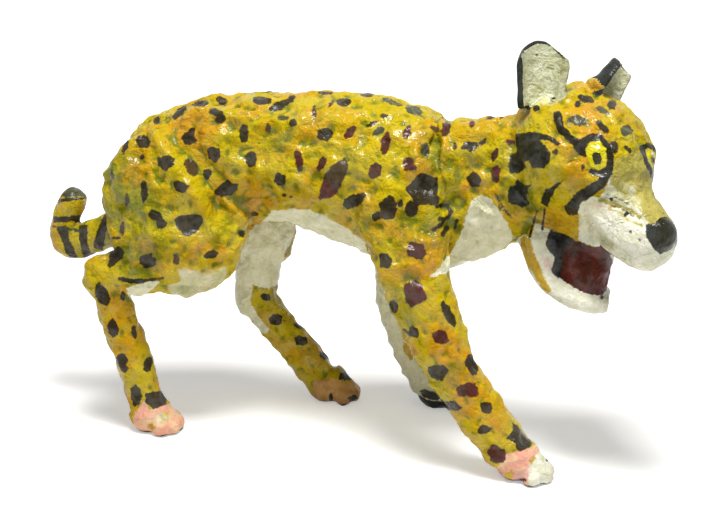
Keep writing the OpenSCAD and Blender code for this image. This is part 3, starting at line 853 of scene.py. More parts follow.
@dataclass(frozen=True)
class PaintChart:
    """The marks of one part of the figure, and the painting of them."""

    spots: tuple[Spot, ...] = ()
    strokes: tuple[Stroke, ...] = ()
    zones: tuple[Zone, ...] = ()

    def paint(self, hide: Hide, view: View) -> None:
        """Lay every mark on the hide.

        Args:
            hide: the surface to paint.
            view: how the surface falls in the image.
        """
        for zone in self.zones:
            self.fill(hide, view, zone)
        for spot in self.spots:
            self.dab(hide, view, spot)
        for stroke in self.strokes:
            self.draw(hide, view, stroke)

    def dab(self, hide: Hide, view: View, spot: Spot) -> None:
        """Lay one spot as a brush leaves it: an oval with a few blunt corners.

        Args:
            hide: the surface to paint.
            view: how the surface falls in the image.
            spot: the spot.
        """
        depth = hide.depth_at((spot.x, spot.y))
        scale = depth / CAMERA.focal_px
        half = np.array([spot.width, spot.height]) * scale / 2
        reach = BRUSH.overrun * half.max() + BRUSH.margin
        away = view.pixels - np.array([spot.x, spot.y])
        near = np.abs(away).max(axis=1) * scale < reach
        near &= np.abs(view.depth - depth) < reach + BRUSH.spot_sag
        where = np.flatnonzero(view.usable & near)
        turn = math.radians(spot.turn)
        x, y = away[where, 0] * scale, away[where, 1] * scale
        local = np.stack(
            [x * math.cos(turn) + y * math.sin(turn), y * math.cos(turn) - x * math.sin(turn)], axis=1
        )
        dice = np.random.default_rng(int(spot.x * BRUSH.seed_step + spot.y))
        count = int(dice.integers(*BRUSH.corners))
        sway = dice.uniform(-BRUSH.sway, BRUSH.sway, count)
        angles = (np.arange(count) + sway) * math.tau / count + dice.uniform(0, 1)
        radii = dice.uniform(*BRUSH.stretch, count)
        corners = [(half[0] * r * math.cos(t), half[1] * r * math.sin(t)) for r, t in zip(radii, angles)]
        edge = along_path(local, corners, closed=True)
        edge[inside_path(local, corners)] *= -1
        rough = float(np.clip(half.min() * BRUSH.spot_rough, *BRUSH.spot_edge))
        hide.lay(spot.pigment, edge + rough * hide.wobble[where], where)

    def draw(self, hide: Hide, view: View, stroke: Stroke) -> None:
        """Lay one brush stroke.

        Args:
            hide: the surface to paint.
            view: how the surface falls in the image.
            stroke: the stroke.
        """
        depths = [hide.depth_at(p) for p in stroke.points]
        low = np.min(stroke.points, axis=0) - BRUSH.stroke_margin
        high = np.max(stroke.points, axis=0) + BRUSH.stroke_margin
        near = (view.depth > min(depths) - BRUSH.stroke_sag) & (view.depth < max(depths) + BRUSH.stroke_sag)
        near &= ((view.pixels > low) & (view.pixels < high)).all(axis=1)
        where = np.flatnonzero(view.usable & near)
        away = (along_path(view.pixels[where], stroke.points) - stroke.width / 2) * view.scale[where]
        rough = float(np.clip(stroke.width * BRUSH.stroke_rough, *BRUSH.stroke_edge))
        hide.lay(stroke.pigment, away + rough * hide.wobble[where], where)

    def fill(self, hide: Hide, view: View, zone: Zone) -> None:
        """Lay one field of paint.

        Args:
            hide: the surface to paint.
            view: how the surface falls in the image.
            zone: the field.
        """
        low = np.min(zone.corners, axis=0) - BRUSH.field_margin
        high = np.max(zone.corners, axis=0) + BRUSH.field_margin
        near = view.usable & ((view.pixels > low) & (view.pixels < high)).all(axis=1)
        if zone.nodes:
            near &= hide.owned(*zone.nodes)
        where = np.flatnonzero(near)
        pixels = view.pixels[where]
        away = along_path(pixels, zone.corners, closed=True) * view.scale[where]
        away[inside_path(pixels, zone.corners)] *= -1
        hide.lay(zone.pigment, away + zone.ragged * hide.wobble[where], where)


@dataclass
class Figure:
    """A part of the figure: its nodes, how lumpy its paper is and its painted marks."""

    nodes: tuple[str, ...]
    lumps: dict[str, Lumps]
    reliefs: tuple[Relief, ...] = ()
    relief_sag: float = 8.0  # millimetres that the paper may lie in depth from a relief's points
    chart: PaintChart = PaintChart()

    def shape(self, hide: Hide) -> None:
        """Add this part's ridges and dents to the hide's lift.

        Args:
            hide: the surface to press.
        """
        own = hide.share(*self.nodes)
        for relief in self.reliefs:
            self.raise_along(hide, relief, own)

    def raise_along(self, hide: Hide, relief: Relief, own: np.ndarray) -> None:
        """Add one ridge or dent.

        Args:
            hide: the surface to press.
            relief: the ridge or dent.
            own: how far each vertex belongs to this part.
        """
        view = hide.direct
        away = along_path(view.pixels, relief.points) * view.scale
        depths = [hide.depth_at(p) for p in relief.points]
        near = (view.depth > min(depths) - self.relief_sag) & (view.depth < max(depths) + self.relief_sag)
        crest = np.exp(-((away / relief.half_width) ** 2)) * relief.height
        hide.lift += np.where(view.usable & near, crest, 0.0) * np.minimum(own / OWN, 1)

    def mirrored(self, hide: Hide) -> View:
        """See the figure's hidden side as if its two sides were exchanged.

        Args:
            hide: the surface to paint.

        Returns:
            The view of the hidden side.
        """
        across = np.array([1.0, -1.0, 1.0])
        return self.turned_view(hide, hide.points * across, hide.normals * across)

    def turned_view(self, hide: Hide, places: np.ndarray, normals: np.ndarray) -> View:
        """Make a view of exchanged places, for the vertices that the camera doesn't see.

        Args:
            hide: the surface to paint.
            places: the exchanged places in millimetres.
            normals: the exchanged normals.

        Returns:
            The view.
        """
        to_eye = CAMERA.eye - places
        facing = np.einsum("ij,ij->i", to_eye, normals) > 0
        own = hide.owned(*self.nodes)
        return View(CAMERA.project(places), CAMERA.depth(places), facing & own & ~hide.direct.usable)

    def paint(self, hide: Hide) -> None:
        """Paint this part's marks on the side that the camera sees and, exchanged, on the other.

        Args:
            hide: the surface to paint.
        """
        self.chart.paint(hide, hide.direct)
        self.chart.paint(hide, self.mirrored(hide))


def dabs(pigment: Pigment, *rows: tuple[float, ...]) -> tuple[Spot, ...]:
    """Spots of one pigment, each row with a spot's middle, its size and, if it has one, its turn."""
    return tuple(Spot(*row, pigment=pigment) for row in rows)


def path(*numbers: float) -> tuple[Pixel, ...]:
    """The pixels of a path, from their columns and rows in turn."""
    return tuple(zip(numbers[::2], numbers[1::2]))


TRUNK_LUMPS = Lumps(2.0, 1.4, 0.75, 0.22)
LEG_LUMPS = Lumps(1.2, 1.0, 0.7, 0.22)
HEAD_LUMPS = Lumps(1.2, 1.0, 0.6, 0.2)
FACE_LUMPS = Lumps(0.5, 0.5, 0.35, 0.14)
FINE_LUMPS = Lumps(0.1, 0.1, 0.08, 0.05)
EAR_LUMPS = Lumps(0.6, 0.3, 0.2, 0.1)
PAW_LUMPS = Lumps(0.35, 0.35, 0.35, 0.15)
TAIL_LUMPS = Lumps(0.5, 0.5, 0.3, 0.12)


TRUNK_MARKS = PaintChart(
    spots=(
        *dabs(
            Pigment.CHARCOAL,
            (143, 142, 14, 14, 30), (165, 162, 17, 16), (181, 187, 17, 11, 15), (155, 215, 15, 11, 20),
            (161, 224, 11, 11), (144, 191, 8, 21), (125, 147, 5, 15, 20), (112, 175, 3, 15),
            (142, 157, 5, 6), (116, 256, 24, 12, -60), (148, 261, 18, 12, 8), (150, 255, 7, 6),
            (210, 255, 14, 9, -15), (180, 112, 18, 7, -45), (157, 121, 7, 8), (200, 104, 16, 7, -10),
            (222, 101, 13, 8, 30), (216, 112, 15, 9, 15), (221, 119, 11, 9), (189, 138, 13, 14, 15),
            (192, 132, 7, 9, 20), (214, 154, 14, 15), (207, 174, 9, 10), (226, 190, 24, 13, -25),
            (244, 134, 9, 20), (251, 160, 12, 16), (262, 101, 19, 9, 5), (279, 106, 22, 8, -28),
            (291, 99, 10, 7, -40), (293, 123, 8, 9), (280, 179, 14, 16), (325, 134, 17, 13),
            (355, 200, 24, 11, -25), (349, 205, 12, 9), (284, 195, 5, 4), (291, 197, 4, 3),
            (344, 102, 14, 9), (372, 124, 16, 4, -25), (424, 190, 32, 32), (434, 200, 14, 12),
            (412, 209, 15, 15), (388, 208, 19, 23), (378, 216, 12, 9), (384, 116, 8, 5),
            (367, 95, 14, 4, 5), (470, 147, 17, 10), (483, 142, 12, 5, -40), (474, 180, 13, 15),
            (385, 261, 12, 15, -20), (268, 91, 16, 3), (325, 93, 14, 3), (400, 204, 6, 10),
        ),
        *dabs(
            Pigment.BROWN,
            (127, 200, 4, 14), (176, 259, 7, 12, -20), (254, 214, 9, 5), (192, 167, 12, 20, -25),
            (268, 128, 5, 10), (314, 112, 5, 12), (435, 129, 10, 6, 30), (455, 146, 4, 7),
        ),
        *dabs(
            Pigment.GREY,
            (283, 118, 12, 6), (379, 131, 14, 8, -30), (426, 150, 10, 15), (414, 110, 19, 9, 15),
            (392, 102, 20, 5, 20),
        ),
        *dabs(
            Pigment.WINE,
            (299, 161, 8, 24, -8), (321, 164, 8, 18, 20), (350, 132, 17, 8, -45), (331, 104, 11, 4, -50),
            (409, 165, 15, 15), (375, 171, 13, 18), (385, 144, 9, 24, 8), (407, 132, 7, 14, 25),
            (446, 129, 9, 14, 15), (472, 124, 6, 7), (495, 154, 7, 16, 20), (496, 174, 11, 20),
            (417, 250, 20, 18),
        ),
        *dabs(Pigment.BLACK, (242, 233, 7, 9)),
    ),
    strokes=(
        Stroke(((437, 206), (446, 205), (451, 211), (447, 218), (440, 219)), 4.5, Pigment.CHARCOAL),
        Stroke(((433, 230), (441, 225), (447, 217)), 4, Pigment.CHARCOAL),
        Stroke(((443, 234), (447, 228)), 5, Pigment.CHARCOAL),
        Stroke(((455, 228), (457, 220)), 3, Pigment.CHARCOAL),
        # Painted shade: a dark line along a crease low on the near haunch.
        Stroke(((120, 279), (130, 281), (142, 281)), 5),
        Stroke(((142, 281), (163, 278)), 2.6, Pigment.BROWN),
    ),
    zones=(
        Zone(path(
            174, 219, 180, 216, 192, 213.5, 202, 215, 203, 221, 199, 230, 190, 236, 184, 237, 180, 231,
            176, 226,
        ), Pigment.CHARCOAL, (), 0.3),
        Zone(path(
            345, 158, 348, 165, 345, 177, 341, 185, 322, 182, 323, 177, 332, 165,
        ), Pigment.BROWN, (), 0.3),
        Zone(path(318, 201, 320, 189, 322, 181, 341, 184, 337, 194, 327, 199), Pigment.WINE, (), 0.4),
        Zone(path(
            244, 250, 268, 224, 299, 221, 294, 233, 285, 252, 282, 268, 280, 283, 268, 289, 257, 287,
            246, 282,
        ), Pigment.CREAM, ("left_thigh", "left_hind_leg"), 0.5),
        # Olive on the rump and on the shoulder below the neck: olive paint, and painted shade where these
        # sides turn away from the lamps.
        Zone(path(104, 160, 128, 138, 160, 176, 172, 240, 150, 280, 104, 262), Pigment.OLIVE),
        Zone(path(384, 214, 410, 206, 444, 212, 452, 240, 430, 262, 390, 256), Pigment.OLIVE),
        Zone(path(
            224, 272, 237, 256, 252, 236, 262, 221, 270, 212, 292, 208, 315, 210, 332, 219, 346, 229,
            364, 242, 400, 330, 300, 420, 215, 330,
        ), Pigment.CREAM, ("torso_skin",)),
        Zone(path(
            226, 262, 262, 215, 300, 215, 299, 224, 288, 238, 278, 252, 268, 266, 262, 280, 254, 284,
            251, 300, 253, 310, 262, 320, 271, 329, 262, 335, 240, 318, 220, 290,
        ), Pigment.CREAM, ("left_thigh", "left_hind_leg")),
        Zone(path(
            471, 201, 482, 195, 492, 199, 502, 214, 510, 227, 514, 240, 495, 255, 467, 275, 432, 287,
            430, 278, 444, 262, 458, 240, 466, 220,
        ), Pigment.CREAM, ("neck_skin", "torso_skin", "right_shoulder", "left_shoulder")),
        Zone(path(
            164, 286, 176, 276, 186, 268, 200, 272, 214, 270, 226, 266, 226, 284, 205, 292, 185, 302,
            168, 298,
        ), Pigment.CHALK_AND_HIGHLIGHT, ("right_thigh", "torso_skin"), 2.5),
        Zone(path(126, 288, 150, 281, 160, 283, 150, 291, 138, 303, 130, 300), Pigment.CREAM),
        Zone(path(240, 122, 252, 118, 262, 130, 250, 134), Pigment.OLIVE),
        Zone(path(128, 165, 150, 160, 158, 185, 145, 200, 132, 190), Pigment.OLIVE),
        Zone(path(198, 222, 225, 215, 238, 230, 222, 248, 205, 244), Pigment.OLIVE),
        Zone(path(260, 138, 285, 134, 300, 150, 280, 158, 262, 152), Pigment.OLIVE),
        Zone(path(318, 142, 345, 142, 345, 152, 320, 156), Pigment.OLIVE),
        Zone(path(360, 206, 375, 196, 385, 225, 372, 238, 360, 230), Pigment.OLIVE),
        Zone(path(428, 136, 440, 140, 442, 170, 432, 178, 424, 165), Pigment.OLIVE),
        Zone(path(440, 176, 456, 170, 462, 200, 448, 205), Pigment.OLIVE),
        Zone(path(110, 165, 125, 160, 140, 190, 150, 215, 125, 218, 108, 205), Pigment.OLIVE),
        Zone(path(170, 125, 200, 118, 245, 126, 235, 140, 205, 132, 180, 150), Pigment.ORANGE),
        Zone(path(240, 196, 285, 200, 262, 218, 245, 236, 228, 240, 222, 212), Pigment.ORANGE),
        Zone(path(210, 240, 240, 240, 236, 256, 222, 262, 205, 248), Pigment.ORANGE),
        Zone(path(395, 225, 450, 232, 440, 280, 405, 275), Pigment.ORANGE),
        Zone(path(445, 155, 470, 160, 495, 190, 470, 198, 450, 190), Pigment.ORANGE),
    ),
)


@dataclass
class Trunk(Figure):
    """Body, neck, shoulders and thighs."""

    nodes: tuple[str, ...] = TRUNK_NODES
    lumps: dict[str, Lumps] = field(default_factory=lambda: dict.fromkeys(TRUNK_NODES, TRUNK_LUMPS))
    reliefs: tuple[Relief, ...] = (
        # The long fold over the haunch and the dents beside it.
        Relief(((157, 137), (172, 160), (190, 188), (206, 210)), 3.4, 3.4),
        Relief(((176, 132), (194, 158), (212, 186), (222, 206)), 5.0, -3.2),
        Relief(((138, 160), (150, 182), (162, 202)), 5.0, -1.8),
        # The ridge where the neck's paper ends on the body's, and the wrinkles by it.
        Relief(((441, 122), (444, 137), (445, 146), (443, 158), (442, 168)), 1.2, 2.0),
        Relief(((439, 146), (438, 158), (438, 172)), 1.6, -1.5),
        Relief(((446, 176), (449, 182), (449, 190)), 1.9, 2.0),
        Relief(((428, 161), (420, 167), (414, 172)), 1.5, 1.6),
        Relief(((417, 145), (416, 156)), 1.6, 1.3),
        # Swells and dents along the back and the flank.
        Relief(((180, 118), (200, 112), (215, 122)), 4.5, 1.3),
        Relief(((182, 124), (214, 121), (240, 126), (262, 117), (286, 106)), 2.6, -1.8),
        Relief(((236, 104), (258, 110), (282, 106)), 1.2, -1.2),
        Relief(((226, 118), (250, 120), (275, 122), (296, 128)), 3.0, 1.8),
        Relief(((240, 150), (262, 142), (280, 144)), 4.0, -1.4),
        Relief(((262, 166), (282, 171), (300, 180)), 3.0, 1.6),
        Relief(((228, 203), (238, 212), (246, 222)), 1.6, 1.6),
        Relief(((215, 206), (240, 200), (262, 196)), 4.0, -1.8),
        Relief(((300, 120), (322, 114), (345, 118)), 3.0, 1.4),
        Relief(((300, 142), (330, 148), (356, 144)), 3.6, -1.4),
        Relief(((150, 236), (170, 232), (190, 242)), 3.2, 1.8),
        Relief(((205, 215), (232, 222)), 4.0, -1.4),
        # The shoulder, the neck and the pit in front of the thigh.
        Relief(((408, 176), (424, 172), (440, 182)), 3.0, 2.2),
        Relief(((372, 190), (384, 178), (400, 172)), 3.0, -1.2),
        Relief(((400, 222), (430, 232), (455, 226)), 3.0, -1.6),
        Relief(((415, 152), (418, 164), (428, 170)), 2.0, 1.6),
        Relief(((458, 126), (470, 132), (490, 130)), 3.4, 1.4),
        Relief(((455, 166), (475, 164), (492, 168)), 3.4, -1.4),
        Relief(((242, 233),), 1.5, -2.2),
        Relief(((432, 194), (436, 210)), 2.2, 1.0),
    )
    chart: PaintChart = TRUNK_MARKS


@dataclass
class Tail(Figure):
    """The hooked tail and the rings round it."""

    nodes: tuple[str, ...] = ("tail_skin",)
    lumps: dict[str, Lumps] = field(default_factory=lambda: {"tail_skin": TAIL_LUMPS})
    bands: tuple[Band, ...] = (
        Band(72, 191, 90, 12, Pigment.GREY), Band(72, 199, 96, 3), Band(70, 219, 92, 7),
        Band(69, 229, 80, 3, Pigment.GREY), Band(67, 244, 20, 10), Band(84, 243, 6, 9),
        Band(102, 232, -20, 10),
    )
    half_width: float = 7.5  # millimetres from a ring's middle to the tail's sides
    reach: float = 15.0  # millimetres from a ring's pixel that it may run round the tail
    ragged: float = 0.5
    chart: PaintChart = PaintChart(
        spots=(
            *dabs(Pigment.CHARCOAL, (94, 255, 11, 6), (116, 238, 10, 3)),
            *dabs(Pigment.BROWN, (122, 228, 5, 14)),
        )
    )

    def paint(self, hide: Hide) -> None:
        """Paint the rings right round the tail, and its spots.

        Args:
            hide: the surface to paint.
        """
        self.chart.paint(hide, hide.direct)
        own = np.flatnonzero(hide.owned("tail_skin"))
        right, up, _ = CAMERA.axes
        for band in self.bands:
            place = hide.anchor((band.x, band.y))
            turn = math.radians(band.heading)
            along = right * math.cos(turn) + up * math.sin(turn)
            away = hide.points[own] - place
            sideways = np.abs(away @ (up * math.cos(turn) - right * math.sin(turn)))
            where = own[(sideways < self.half_width) & (np.linalg.norm(away, axis=1) < self.reach)]
            across = np.abs((hide.points[where] - place) @ along) - band.width * CAMERA.mm_per_px / 2
            hide.lay(band.pigment, across + self.ragged * hide.wobble[where], where)


LEG_MARKS = PaintChart(
    spots=(
        *dabs(
            Pigment.CHARCOAL,
            (102, 294, 13, 27, -28), (113, 329, 10, 18), (134, 332, 6, 14, -10), (122, 360, 13, 14),
            (124, 368, 8, 10), (148, 365, 8, 17, 15), (136, 397, 11, 21), (156, 400, 22, 20),
            # Painted shade: the dabs at (123, 296) and (266, 297) darken crevices beside the hind legs.
            (123, 296, 5, 11), (276, 320, 14, 12), (301, 341, 13, 11, 20), (325, 356, 15, 6, 25),
            (266, 297, 11, 7, 20), (394, 306, 9, 13, -15), (449, 315, 9, 28, -28), (414, 332, 9, 12, -30),
            (438, 372, 20, 17, 20), (472, 366, 12, 18, -20), (486, 407, 12, 11), (484, 430, 15, 11, -10),
            (470, 357, 8, 6), (430, 395, 20, 8, 20),
        ),
        *dabs(
            Pigment.BLACK,
            # Painted shade: the dabs at (331, 397) and (353, 398) darken the gaps between the far hind
            # paw's toes.
            (349, 375, 23, 10, -12), (447, 405, 26, 12, 15), (331, 397, 4, 9), (353, 398, 10, 6, -20),
            (547, 460, 2.5, 2.5), (551, 459, 2, 2),
        ),
        *dabs(Pigment.BROWN, (298, 326, 10, 5, 40)),
        *dabs(
            Pigment.WINE,
            (414, 294, 24, 25), (440, 337, 16, 15), (467, 390, 21, 15), (497, 454, 17, 20),
            (523, 480, 7, 4),
        ),
    ),
    strokes=(
        Stroke(((412, 336), (404, 330)), 3, Pigment.BROWN),
    ),
    zones=(
        Zone(path(
            371, 250, 384, 285, 398, 318, 412, 345, 424, 372, 440, 396, 452, 404, 440, 412, 400, 400,
            370, 350, 360, 280,
        ), Pigment.CREAM, ("left_foreleg", "left_shoulder", "left_fore_paw")),
        Zone(path(402, 336, 412, 338, 418, 354, 410, 360, 403, 350), Pigment.OCHRE),
        Zone(path(
            520, 452, 536, 445, 546, 444, 562, 455, 562, 492, 505, 492, 505, 470,
        ), Pigment.CREAM, ("right_fore_paw", "right_foreleg"), 0.5),
        Zone(path(
            496, 470, 505, 454, 516, 451, 536, 446, 539, 449, 537, 455, 530, 463, 526, 470, 529, 475,
            530, 492, 496, 492,
        ), Pigment.PINK, ("right_fore_paw", "right_foreleg"), 0.6),
        Zone(path(
            511, 421, 518, 427, 524, 435, 533, 443, 531, 447, 519, 452, 515, 448, 516, 444, 510, 440,
            506, 439, 510, 435, 513, 429,
        ), Pigment.CHARCOAL, ("right_fore_paw", "right_foreleg"), 0.4),
        Zone(path(438, 322, 462, 340, 505, 425, 496, 462, 476, 440, 428, 350), Pigment.ORANGE),
        Zone(path(
            138, 408, 145, 398, 149, 410, 165, 404, 186, 404, 188, 440, 130, 440, 134, 416,
        ), Pigment.PINK, ("right_hind_paw", "right_hind_leg")),
        Zone(path(152, 415, 162, 411, 168, 418, 162, 424, 155, 424), Pigment.CHALK_AND_HIGHLIGHT),
        Zone(path(158, 414, 168, 411, 168, 421, 160, 424), Pigment.OCHRE, ("right_hind_paw",), 0.6),
        Zone(path(147, 425, 153, 421, 156, 428, 150, 431), Pigment.OCHRE, ("right_hind_paw",), 0.6),
        Zone(path(528, 461, 534, 456, 537, 458, 531, 463), Pigment.OCHRE, ("right_fore_paw",), 0.3),
        Zone(path(503, 473, 513, 470, 517, 476, 506, 479), Pigment.OCHRE, ("right_fore_paw",)),
        Zone(path(512, 472, 530, 470, 529, 481, 514, 481), Pigment.BLUSH),
        Zone(path(
            312, 382, 330, 378, 348, 384, 366, 374, 372, 410, 312, 410,
        ), Pigment.TAN, ("left_hind_paw", "left_hind_leg")),
    ),
)


@dataclass
class Legs(Figure):
    """Forelegs, hind legs and paws."""

    nodes: tuple[str, ...] = LEG_NODES + PAW_NODES
    lumps: dict[str, Lumps] = field(
        default_factory=lambda: dict.fromkeys(LEG_NODES, LEG_LUMPS) | dict.fromkeys(PAW_NODES, PAW_LUMPS)
    )
    tints: tuple[Pigment, ...] = (Pigment.PINK, Pigment.BLACK, Pigment.PINK, Pigment.TAN)  # paw by paw
    inner_turn: float = 0.5  # sideways part of the normal at which the white inner side begins
    inner_fade: float = 7.0  # millimetres of edge for a whole turn of the normal
    sole: float = 1.0  # height of the dark soles in millimetres
    sole_ragged: float = 0.8
    ankle: float = 1.0  # millimetres below a paw's top at which its tint ends
    dipped: float = 4.5  # height of the black on the far fore paw in millimetres
    chart: PaintChart = LEG_MARKS

    def paint(self, hide: Hide) -> None:
        """Paint the legs' marks, their white inner sides and the dark soles.

        Args:
            hide: the surface to paint.
        """
        self.chart.paint(hide, hide.direct)
        hidden = ~hide.direct.usable
        for leg in LEG_NODES:
            side = 1 if leg.startswith("right") else -1
            where = np.flatnonzero(hidden & hide.owned(leg))
            inner = (self.inner_turn - side * hide.normals[where, 1]) * self.inner_fade
            hide.lay(Pigment.CREAM, inner + hide.wobble[where], where)
        for paw, tint in zip(PAW_NODES, self.tints):
            own = hide.owned(paw)
            where = np.flatnonzero(own)
            above = hide.points[where, 2] - self.sole
            hide.lay(Pigment.BLACK, above + self.sole_ragged * hide.wobble[where], where)
            where = np.flatnonzero(own & hidden)
            above = hide.points[where, 2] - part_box(paw)[1].z / MM + self.ankle
            hide.lay(tint, above + hide.wobble[where], where)
        where = np.flatnonzero(hide.owned("left_fore_paw") & ~hidden)
        hide.lay(Pigment.BLACK, hide.points[where, 2] - self.dipped + hide.wobble[where], where)


@dataclass(frozen=True)
class EarPaint:
    """An ear's paint: past this pixel, to the right and below, and in the tuft its rim stays white."""

    node: str
    pale_from: Pixel
    tuft: tuple[Pixel, ...] = ()


TUFT: tuple[Pixel, ...] = ((572, 82), (586, 76), (597, 79), (606, 88), (596, 92), (576, 92))


HEAD_MARKS = PaintChart(
    spots=(
        *dabs(Pigment.GREY, (577, 120, 20, 10, 8), (603, 111, 18, 6, 30), (627, 131, 13, 10)),
        *dabs(
            Pigment.BLACK,
            (572, 208, 14, 16), (536, 108, 7, 6), (597, 93, 3, 3), (611, 199, 4, 4), (626, 214, 5, 5),
            (602, 297, 4, 4), (616, 259, 4, 4),
        ),
        *dabs(
            Pigment.CHARCOAL,
            (583, 167, 4, 7), (586, 99, 17, 8, 20), (578, 104, 6, 8), (602, 127, 17, 7, 45),
            (612, 104, 10, 11), (614, 147, 8, 12, -15), (628, 149, 10, 4, 45), (507, 113, 20, 4, -40),
            (493, 117, 18, 3, -15), (555, 152, 6, 7), (640, 240, 3, 3),
        ),
        *dabs(Pigment.WINE, (511, 142, 10, 6), (630, 232, 3, 3)),
        *dabs(Pigment.BROWN, (500, 208, 3, 10, -30)),
    ),
    strokes=(
        Stroke(((557, 115), (560, 127), (569, 137), (580, 145), (587, 149)), 9),
        Stroke(((585, 141), (591, 137), (600, 139), (607, 147), (610, 158), (609, 169), (601, 174)), 8),
        Stroke(((592, 172), (601, 174)), 7),
        Stroke(((607, 172), (601, 183), (588, 192), (577, 199), (571, 210)), 11),
        Stroke(((496, 195), (502, 206), (511, 217)), 2.5, Pigment.BROWN),
        Stroke(((600, 200), (613, 204), (627, 209), (640, 217)), 4.0, Pigment.KHAKI),
        Stroke(((604, 207), (616, 211), (628, 219), (642, 226)), 2.4, Pigment.KHAKI),
        Stroke(((612, 206), (622, 209), (634, 217)), 1.2, Pigment.BROWN),
        Stroke(((604, 194), (618, 198), (630, 205)), 1.0, Pigment.BROWN),
        Stroke(((537, 211), (529, 238)), 1.8),
        Stroke(((545, 209), (542, 230)), 2.2),
        Stroke(((642, 148), (648, 145), (655, 149), (659, 160)), 5),
        Stroke(((642, 148), (646, 160), (652, 174), (657, 190)), 5),
    ),
    zones=(
        Zone(path(
            516, 134, 530, 132, 545, 134, 553, 138, 560, 143, 559, 147, 548, 141, 539, 140, 546, 145,
            551, 153, 549, 163, 543, 168, 532, 168, 529, 161, 525, 162, 527, 168, 520, 173, 510, 173,
            507, 166, 510, 156, 517, 151, 515, 142,
        ), Pigment.BLACK, (), 0.4),
        Zone(path(
            516, 178, 521, 182, 526, 186, 532, 184, 527, 190, 527, 197, 529, 205, 522, 208, 515, 205,
            508, 202, 507, 192, 510, 186, 516, 186,
        ), Pigment.BLACK, (), 0.4),
        Zone(path(
            564, 180, 556, 190, 551, 199, 547, 207, 541, 204, 541, 197, 547, 189, 555, 184,
        ), Pigment.BLACK, (), 0.4),
        Zone(path(572, 141, 586, 143, 587, 158, 580, 156, 573, 149), Pigment.BLACK, (), 0.5),
        Zone(path(
            609, 166, 618, 158, 630, 155, 645, 150, 657, 150, 661, 165, 664, 195, 675, 210, 678, 228,
            650, 228, 640, 211, 626, 198, 611, 184,
        ), Pigment.KHAKI),
        Zone(path(
            575, 203, 590, 197, 608, 198, 625, 200, 640, 210, 655, 226, 660, 240, 690, 240, 690, 275,
            605, 280, 606, 254, 592, 247, 580, 243, 576, 232, 577, 218, 572, 212,
        ), Pigment.CREAM, ("head_skin", "muzzle", "mouth_lining")),
        Zone(path(
            536, 224, 556, 232, 560, 300, 600, 285, 625, 300, 600, 330, 540, 292, 530, 244,
        ), Pigment.CREAM, ("lower_jaw", "head_skin", "neck_skin", "mouth_lining"), 0.6),
        Zone(path(
            518, 234, 531, 238, 535, 256, 543, 274, 552, 292, 544, 292, 524, 260,
        ), Pigment.OCHRE, ("lower_jaw", "head_skin")),
        Zone(path(
            544, 207, 566, 211, 573, 205, 579, 216, 579, 236, 574, 240, 553, 230, 545, 226,
        ), Pigment.OCHRE, (), 0.5),
        Zone(path(582, 203, 600, 204, 611, 209, 598, 208), Pigment.BLUSH),
        Zone(path(612, 256, 619, 258, 618, 264, 612, 263), Pigment.BLUSH),
        Zone(path(540, 250, 552, 262, 553, 272, 545, 268), Pigment.BLUSH),
        # Painted shade: an olive-grey wash on the side of the muzzle.
        Zone(path(600, 186, 616, 186, 632, 200, 642, 211, 628, 209, 610, 200), Pigment.SHADE_WASH),
        Zone(TUFT, Pigment.OCHRE, ("head_skin", "left_ear")),
        # Painted shade: an olive-grey wash on the upper lip.
        Zone(path(598, 236, 618, 242, 612, 250, 602, 247), Pigment.SHADE_WASH),
        # Painted highlight: a soft white wash on the side of the muzzle.
        Zone(path(624, 184, 634, 186, 638, 202, 630, 200), Pigment.CHALK_AND_HIGHLIGHT),
        # Painted shade: olive-grey washes on the right side and the bottom of the near ear's cup.
        Zone(path(560, 60, 571, 62, 570, 76, 563, 84, 556, 74), Pigment.SHADE_WASH, ("right_ear",)),
        Zone(path(534, 86, 546, 82, 550, 88, 544, 95, 534, 95), Pigment.SHADE_WASH, ("right_ear",)),
        Zone(path(546, 62, 552, 58, 554, 68, 548, 70), Pigment.SHADE_WASH, ("right_ear",)),
        Zone(path(
            553, 233, 578, 241, 592, 246, 602, 245, 609, 252, 614, 268, 614, 302, 590, 298, 556, 286,
        ), Pigment.MOUTH, ("mouth_lining",), 0.8),
        Zone(path(
            551, 230, 566, 235, 575, 240, 566, 247, 562, 256, 562, 268, 559, 279, 550, 268, 555, 258,
            546, 248,
        ), Pigment.BLACK, (), 1.1),
        Zone(path(
            645, 224, 660, 222, 676, 224, 678, 236, 674, 246, 660, 254, 655, 250, 646, 238,
        ), Pigment.BLACK, ("muzzle", "nose"), 0.4),
        # Painted highlight: a soft white wash on the head below the near ear.
        Zone(path(528, 98, 545, 90, 560, 80, 566, 92, 553, 103, 532, 105), Pigment.CHALK_AND_HIGHLIGHT),
        Zone(path(566, 150, 580, 156, 586, 176, 570, 190, 560, 172), Pigment.ORANGE),
        Zone(path(500, 175, 512, 172, 535, 182, 530, 215, 512, 215), Pigment.OLIVE),
        Zone(path(
            585, 150, 590, 142, 600, 141, 606, 149, 607, 166, 598, 170, 590, 165,
        ), Pigment.YELLOW, (), 0.3),
        Zone(path(646, 152, 652, 150, 658, 156, 659, 166, 653, 168, 648, 161), Pigment.YELLOW, (), 0.2),
    ),
)


